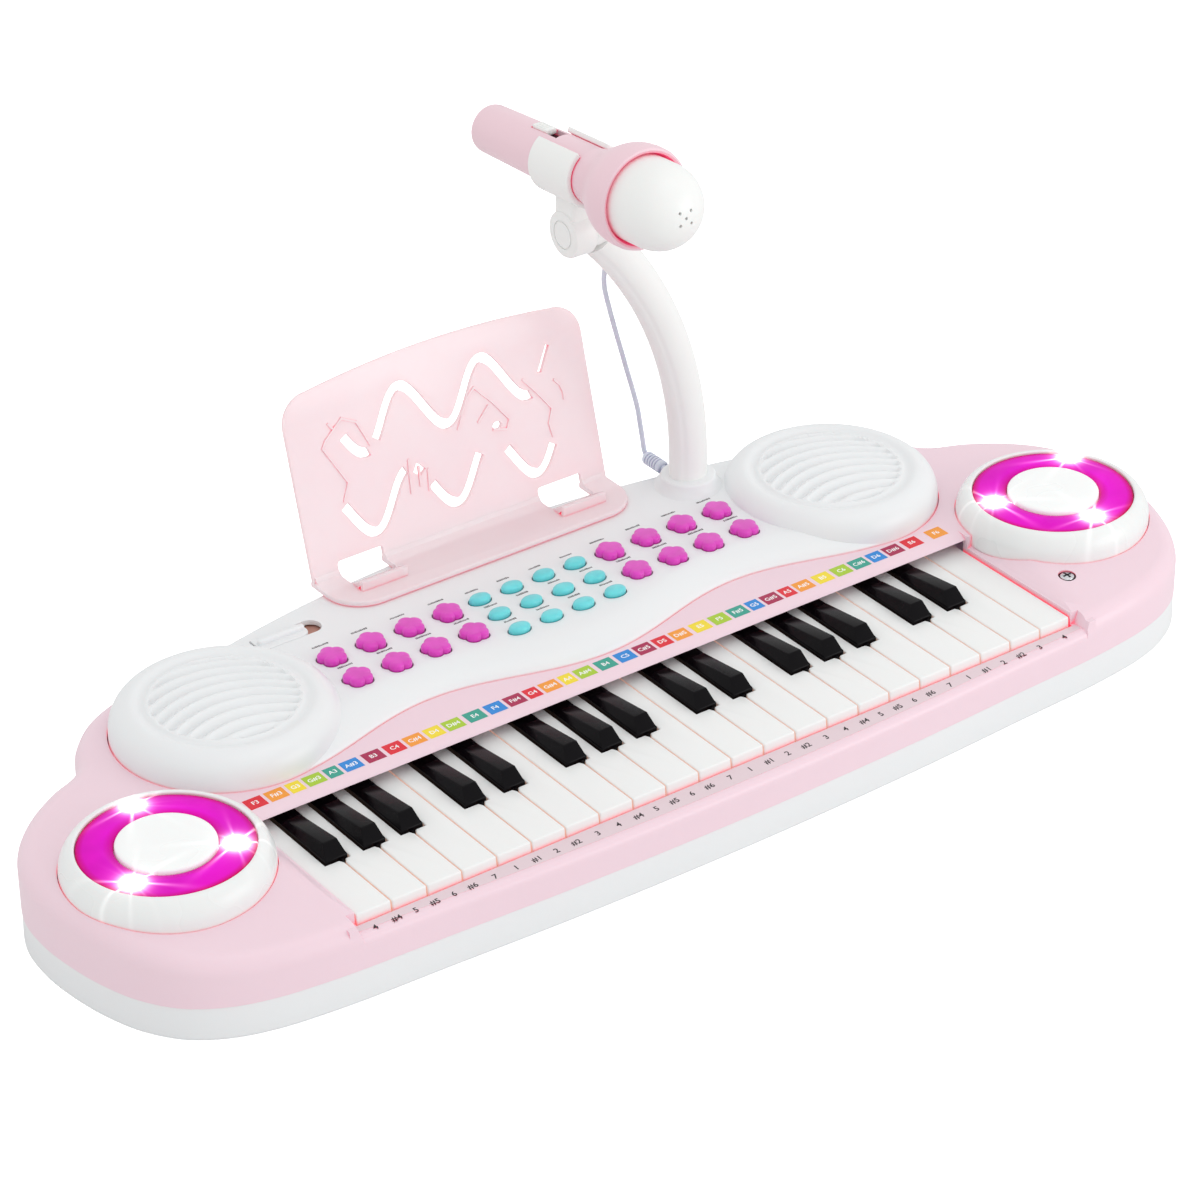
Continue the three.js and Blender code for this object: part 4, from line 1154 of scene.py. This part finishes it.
def plate_prism(name, outline, z0, z1):
    """A prism drawn in the sheet's own plane (x across, y up the sheet, z out of its face)."""
    obj = prism(name, outline, z0, z1)
    move = Matrix.Translation(Vector((STAND_X, TRAY_BACK, TRAY_TOP - 1.4)) * MM)
    obj.data.transform(move @ Matrix.Rotation(TAU / 4 - STAND_TILT, 4, "X"))
    return obj


def stand_outline():
    """Straight foot and sides, round top corners and a bowed top edge."""
    bow, radius = 4.6, 15
    reach = STAND_HALF - radius
    corner = [(reach + radius * math.sin(a), STAND_HEIGHT - bow - radius + radius * math.cos(a))
              for a in (TAU / 4 * (1 - k / 10) for k in range(11))]
    top = [(reach * (1 - k / 10), STAND_HEIGHT - bow * (1 - k / 10) ** 2) for k in range(1, 20)]
    return [(-STAND_HALF, 0), (STAND_HALF, 0)] + corner + top + [(-x, y) for x, y in reversed(corner)]


def ridge_line(points, half=0.5):
    """A low moulded line on the sheet's front face, through points of its own plane."""
    pieces = []
    for start, end in zip(points, points[1:]):
        start, end = Vector(start), Vector(end)
        along = (end - start).normalized() * half
        across = Vector((along.y, -along.x))
        start -= along * 0.8
        end += along * 0.8
        outline = [tuple(p) for p in (start + across, end + across, end - across, start - across)]
        pieces.append(plate_prism("ridge", outline, SHEET - 0.6, SHEET + 0.8))
    return pieces


def note_ridges():
    """Outlines of three plain music notes, moulded into the sheet among its slots."""
    lines = [
        [(-64, 64.5), (-66, 61.5), (-56, 42), (-60, 34)],
        [(-64, 64.5), (-53.6, 72.5), (-46, 68.5), (-41, 56)],
        [(-59, 69), (-61, 72)],
        [(7, 48.5), (14.5, 61.5), (19.3, 65.6), (28, 55.7), (35.7, 45), (33.5, 40.5), (26, 42.5)],
        [(18.5, 48.5), (25.3, 54.6)],
        [(46.6, 61), (52.6, 53.6), (60, 43), (57, 36), (58, 29.5)],
        [(63.8, 56), (66.6, 52.6), (67.8, 48.6), (67.6, 45.4)],
        [(-22.6, 42.5), (-24, 26.5)], [(-17.8, 37.5), (-18.4, 28.5)], [(-13, 35), (-14.2, 25)]]
    return [piece for line in lines for piece in ridge_line(line)]


def music_stand():
    sheet = plate_prism("music_stand_sheet", stand_outline(), 0, SHEET)
    sheet = rounded(sheet, 0.8, 3)
    half, radius = STAND_HALF, 19
    tray_outline = fillet([(STAND_X - half, TRAY_FRONT), (STAND_X + half, TRAY_FRONT),
                           (STAND_X + half, TRAY_BACK + 1), (STAND_X - half, TRAY_BACK + 1)],
                          [radius, radius, 0, 0], 16)
    tray = rounded(prism("tray", tray_outline, PANEL_TOP + 0.2, TRAY_TOP), 0.7, 3)
    waves = {(65.5, 12.8, -20.5): [(-37, 50), (-54, -42)],
             (26.5, 12.3, -22.5): [(-60, -24.6), (-19.6, -15.8), (-11.6, 16.5), (32, 57.5)]}
    openings = [wave_slot(a, b, *wave) for wave, spans in waves.items() for a, b in spans]
    openings.append(ellipse(28.6, 43.8, 2.6, 1.9, 24))
    openings.append([(55.5, 62), (58, 61.4), (64.6, 73), (62.6, 73.8)])
    slots = [plate_prism("slot", outline, -5, SHEET + 5) for outline in openings]
    windows = []
    for side in (-1, 1):
        x0, x1 = (STAND_X + side * WINDOW_X + end * WINDOW_HALF for end in (-1, 1))
        outline = fillet([(x0, 198.6), (x1, 198.6), (x1, 220), (x0, 220)], [2, 2, 0, 0], 6)
        windows.append(rounded(prism("window", outline, 50, TRAY_TOP + 6), 1.5, 3, sharp=32))
    crease = [(TRAY_BACK - 5, TRAY_TOP - 0.4), (TRAY_BACK + 0.5, TRAY_TOP - 0.4),
              (TRAY_BACK + 0.5, TRAY_TOP + 3.4), (TRAY_BACK - 2.1, TRAY_TOP + 1.9),
              (TRAY_BACK - 2.9, TRAY_TOP + 0.7), (TRAY_BACK - 4.6, TRAY_TOP)]
    fold = bar_x("fold", crease, STAND_X - half + 1.2, STAND_X + half - 1.2)
    body = cut(join(sheet, tray, fold), *slots, *windows)
    hooks = [stand_hook(STAND_X + side * WINDOW_X) for side in (-1, 1)]
    body = join(body, *hooks, *note_ridges())
    return finish_with(body, CLEAR, "clear_pink", "music_stand", "music_stand")


def stand_hook(x):
    """A hollow ramp that rises from the window to a lip in front of it."""
    front, back, top, rise = TRAY_FRONT + 10.2, 198, TRAY_TOP, 4.8
    profile = [(front, top - 1), (front, top + rise), (front + 1.8, top + rise),
               (back, top + 0.7), (back, top - 1)]
    ramp = rounded(bar_x("hook", profile, x - WINDOW_HALF, x + WINDOW_HALF), 0.5, 2)
    room = [(front + 1.8, top - 3), (front + 1.8, top + rise - 2.4),
            (back - 4, top - 0.6), (back - 4, top - 3)]
    hollow = bar_x("hollow", room, x - WINDOW_HALF - 1, x + WINDOW_HALF - 2)
    return cut(ramp, hollow)


# ------------------------------------------------------------ microphone, arm and cable

ARM_R = 195
ARM_START = 70
ARM_SWEEP = math.radians(43)
TILT_JOINT = next(j for j in frame["record"]["behaviour"]["joints"] if j["name"] == "mic_tilt")
PIVOT = Vector(TILT_JOINT["pos_m"]) / MM
MIC_RISE = 32.5
MIC_TILT = math.radians(4.5)
ALONG_X = Matrix.Rotation(TAU / 4, 4, "Y")


def mic_arm():
    path = [Vector((ARM_X, ARM_Y, 30 + 4 * i)) for i in range(10)]
    for i in range(33):
        angle = ARM_SWEEP * i / 32
        x = ARM_X - ARM_R * (1 - math.cos(angle))
        path.append(Vector((x, ARM_Y, ARM_START + ARM_R * math.sin(angle))))

    section = []
    for k in range(72):
        angle = TAU * k / 72
        groove = 0.35 * max(0, math.cos(2 * angle - TAU / 4)) ** 24
        across, along = (half - groove for half in ARM_HALF)
        section.append((across * math.cos(angle), along * math.sin(angle)))
    tube = sweep("microphone_arm", path, section)
    knuckle = turned("knuckle", [(0, 0), (8.6, 0), (9.5, 0.8), (9.5, 12.8), (8.8, 13.4), (0, 13.4)],
                     (PIVOT.x + 5.6, ARM_Y, PIVOT.z), 72, ALONG_X)
    return finish_with(join(tube, knuckle), MIC_WHITE, "mic_white", "mic_arm", "mic_arm")


def mic_cable():
    jack_x, jack_z = 110.5, 57.8
    low = span("mic_cable")[0].y
    points = [(jack_x, 211, jack_z + 0.4), (jack_x, 213, 60.6), (109.6, 213.2, 67), (107.9, 212.8, 76),
              (105.7, 212, 86.4), (95.4, 208, 116), (81.5, 200.5, 151.6), (75.5, 196.4, 168),
              (72.5, 191.5, 180), (72, 187, 188)]
    wire = sweep("microphone_cable", smooth_curve(points, 10), circle(0, 0, 1.25, 20))
    profile = [(0, 0), (1.7, 0), (1.7, 4.6), (2.6, 4.7), (3.3, 5.2), (3.4, 6.4)]
    for k in range(5):
        start = 7.2 + 1.9 * k
        profile += [(3.4, start), (2.8, start + 0.25), (2.8, start + 0.75), (3.4, start + 1.0)]
    profile += [(3.3, 17.6), (2.6, 18.4), (1.8, 18.8), (0, 18.9)]
    plug = turned("plug", profile, (jack_x, low, jack_z), 40, Matrix.Rotation(-TAU / 4, 4, "X"))
    return finish_with(join(wire, plug), CABLE, "cable", "mic_cable", "mic_cable")


def on_mic(obj):
    """Moves a piece made nose up about Z on to the microphone's axis."""
    turn = Matrix.Rotation(TAU / 4 - MIC_TILT, 4, "X")
    move = Matrix.Translation(Vector((PIVOT.x, ARM_Y, PIVOT.z + MIC_RISE)) * MM)
    obj.data.transform(move @ turn)
    return obj


def mic_clip():
    inner, outer, half = 13, 15.6, 14.4
    start, end = math.radians(122), math.radians(418)
    arc = [start + (end - start) * k / 72 for k in range(73)]
    ring = [(outer * math.cos(a), outer * math.sin(a)) for a in arc]
    ring += [(inner * math.cos(a), inner * math.sin(a)) for a in reversed(arc)]
    band = on_mic(rounded(prism("microphone_clip", ring, -half, half + 1.8), 0.6, 3))
    y0, y1 = ARM_Y - 7.5, ARM_Y + 7.5
    stem_low, stem_high = (PIVOT.x - 6, y0, PIVOT.z + 5), (PIVOT.x + 5, y1, PIVOT.z + MIC_RISE - 13.8)
    stem = rounded(block("stem", stem_low, stem_high), 1.5, 3)
    profiles = ([(0, 0), (9.6, 0), (10.9, 0.5), (11.5, 1.8), (11.5, 11.2), (10.9, 12), (0, 12.2)],
                [(6.2, -0.5), (7, -0.5), (7, 0.6), (6.2, 0.6)])
    place = (PIVOT.x - 7, ARM_Y, PIVOT.z)
    knob, groove = (turned("knob", profile, place, 72, ALONG_X) for profile in profiles)
    body = cut(join(band, stem, knob), groove)
    return finish_with(body, MIC_WHITE, "mic_white", "mic_clip", "mic_clip")


def microphone():
    back = 66.5
    outside = [(10.6, -back), (11.4, -back + 0.9), (11.7, -back + 2.2), (12.2, -40), (12.7, -14.4),
               (12.7, 16), (13.1, 17), (13.6, 20.5), (15.2, 25.5), (17.6, 30.5), (20.3, 35.5), (22.4, 40),
               (23.6, 44), (24.1, 48.5), (24, 52.6), (23.5, 54.4), (22.6, 54.8)]
    profile = [(0, -back)] + outside[:6] + smooth_outline(outside[6:14], 3) + outside[14:]
    profile += [(21.5, 54.4), (20.9, 53), (20.6, 46), (20.6, 42), (15.4, 33), (10, 22), (10, -back + 2.4),
                (0, -back + 2.4)]
    body = turned("microphone_body", profile, count=120)
    slot = bar_x("slot", [(9.5, -28), (16, -28), (16, -8), (9.5, -8)], -3.3, 3.3)
    finish_with(on_mic(cut(body, slot)), MIC_PINK, "mic_pink", "mic", "mic_body")
    radius, centre = 20.2, 64.5
    ball = [(0, 40), (14, 40), (radius, 44), (radius, centre)]
    ball += [(radius * math.cos(a), centre + radius * math.sin(a))
             for a in (TAU / 64 * k for k in range(1, 16))]
    ball.append((0, centre + radius))
    head = turned("microphone_head", ball, count=120)
    side = 4.2 * math.sqrt(0.5)
    holes = [(0, 0), (side, side), (-side, side), (-side, -side), (side, -side)]
    tools = [prism("hole", circle(x, y, 0.75, 16), 70, 90) for x, y in holes]
    finish_with(on_mic(cut(head, *tools)), MIC_WHITE, "mic_white", "mic", "mic_head")
    low = -27.4
    switch = block("microphone_switch", (-2.9, 10.6, low), (2.9, 13.6, low + 11.4))
    switch = rounded(switch, 0.5, 2)
    grips = [block("grip", (-4, 13.2, low + 3 + 1.7 * k), (4, 14, low + 3.7 + 1.7 * k)) for k in range(4)]
    finish_with(on_mic(cut(switch, *grips)), MIC_WHITE, "mic_white", "mic_switch", "mic_switch")


# ------------------------------------------------------------ build

def keep_node(name, material):
    mesh = frame["nodes"][name]
    mesh.data.materials.clear()
    mesh.data.materials.append(material)


def build():
    upper_casing()
    key_strip()
    lower_casing()
    battery_cover()
    casing_screw()
    control_panel()
    slot_floor()
    power_knob()
    button_mats()
    button_marks()
    for side in (-1, 1):
        drum(side)
    for i, node in enumerate(WHITE_KEYS):
        white_key(i, node)
    for i, node in enumerate(BLACK_KEYS):
        black_key(i, node)
    key_labels()
    music_stand()
    mic_arm()
    mic_cable()
    mic_clip()
    microphone()
    for name in ("left_speaker", "right_speaker"):
        keep_node(name, SPEAKER_METAL)
    keep_node("main_board", BOARD)


# ------------------------------------------------------------ stage

def studio_floor():
    """A wide pale sheet that is plain white to the camera and can't be seen from below."""
    near, far, below = -6000, 9000, -0.05
    verts = [(near, near, below), (-near, near, below), (-near, far, below), (near, far, below)]
    floor = mesh_object("floor", verts, [(0, 1, 2, 3)])
    finish = Finish("floor_paint")
    finish.set(Base_Color=finish.mix(finish.noise(0.8), linear("DCDCDC"), linear("E4E4E4")), Roughness=0.9)
    seen = finish.add("ShaderNodeLightPath").outputs["Is Camera Ray"]
    finish.set(Emission_Color=(1, 1, 1, 1), Emission_Strength=finish.math("MULTIPLY_ADD", seen, 0.9, 0.1))
    behind = finish.add("ShaderNodeNewGeometry").outputs["Backfacing"]
    finish.set(Specular_IOR_Level=0.0, Alpha=finish.math("SUBTRACT", 1.0, behind))
    floor.data.materials.append(finish.material)


def soft_light(name, place, aim, size, power):
    light = bpy.data.lights.new(name, "AREA")
    light.shape = "RECTANGLE"
    light.size, light.size_y = size
    light.energy = power
    obj = bpy.data.objects.new(name, light)
    bpy.context.collection.objects.link(obj)
    obj.location = place
    obj.rotation_euler = (Vector(aim) - Vector(place)).to_track_quat("-Z", "Y").to_euler()


def studio():
    world = bpy.data.worlds.new("studio")
    world.use_nodes = True
    sky = world.node_tree.nodes["Background"].inputs
    sky["Color"].default_value = (1, 1, 1, 1)
    sky["Strength"].default_value = 0.9
    bpy.context.scene.world = world
    soft_light("key_light", (0.3, -0.4, 1.9), (0.05, 0.05, 0), (1.4, 1.0), 2.2)
    soft_light("fill_light", (1.2, -1.6, 0.6), (0.1, 0.05, 0.08), (1.4, 0.9), 8)
    bpy.context.scene.view_settings.view_transform = "Standard"


def camera():
    """A long lens, high on the left of the front, with a slight roll."""
    azimuth, elevation, roll = (math.radians(v) for v in (-35.743, 31.268, -0.6715))
    back = Vector((math.sin(azimuth) * math.cos(elevation), -math.cos(azimuth) * math.cos(elevation),
                   math.sin(elevation)))
    level_right = Vector((math.cos(azimuth), math.sin(azimuth), 0))
    level_up = back.cross(level_right)
    right = level_right * math.cos(roll) + level_up * math.sin(roll)
    up = level_up * math.cos(roll) - level_right * math.sin(roll)
    data = bpy.data.cameras.new("camera")
    data.sensor_width = 36
    data.lens = 126.08
    obj = bpy.data.objects.new("camera", data)
    bpy.context.collection.objects.link(obj)
    rotation = Matrix((right, up, back)).transposed().to_4x4()
    obj.matrix_world = Matrix.Translation((-0.9502, -1.2224, 1.0596)) @ rotation
    bpy.context.scene.camera = obj


build()
studio_floor()
studio()
camera()
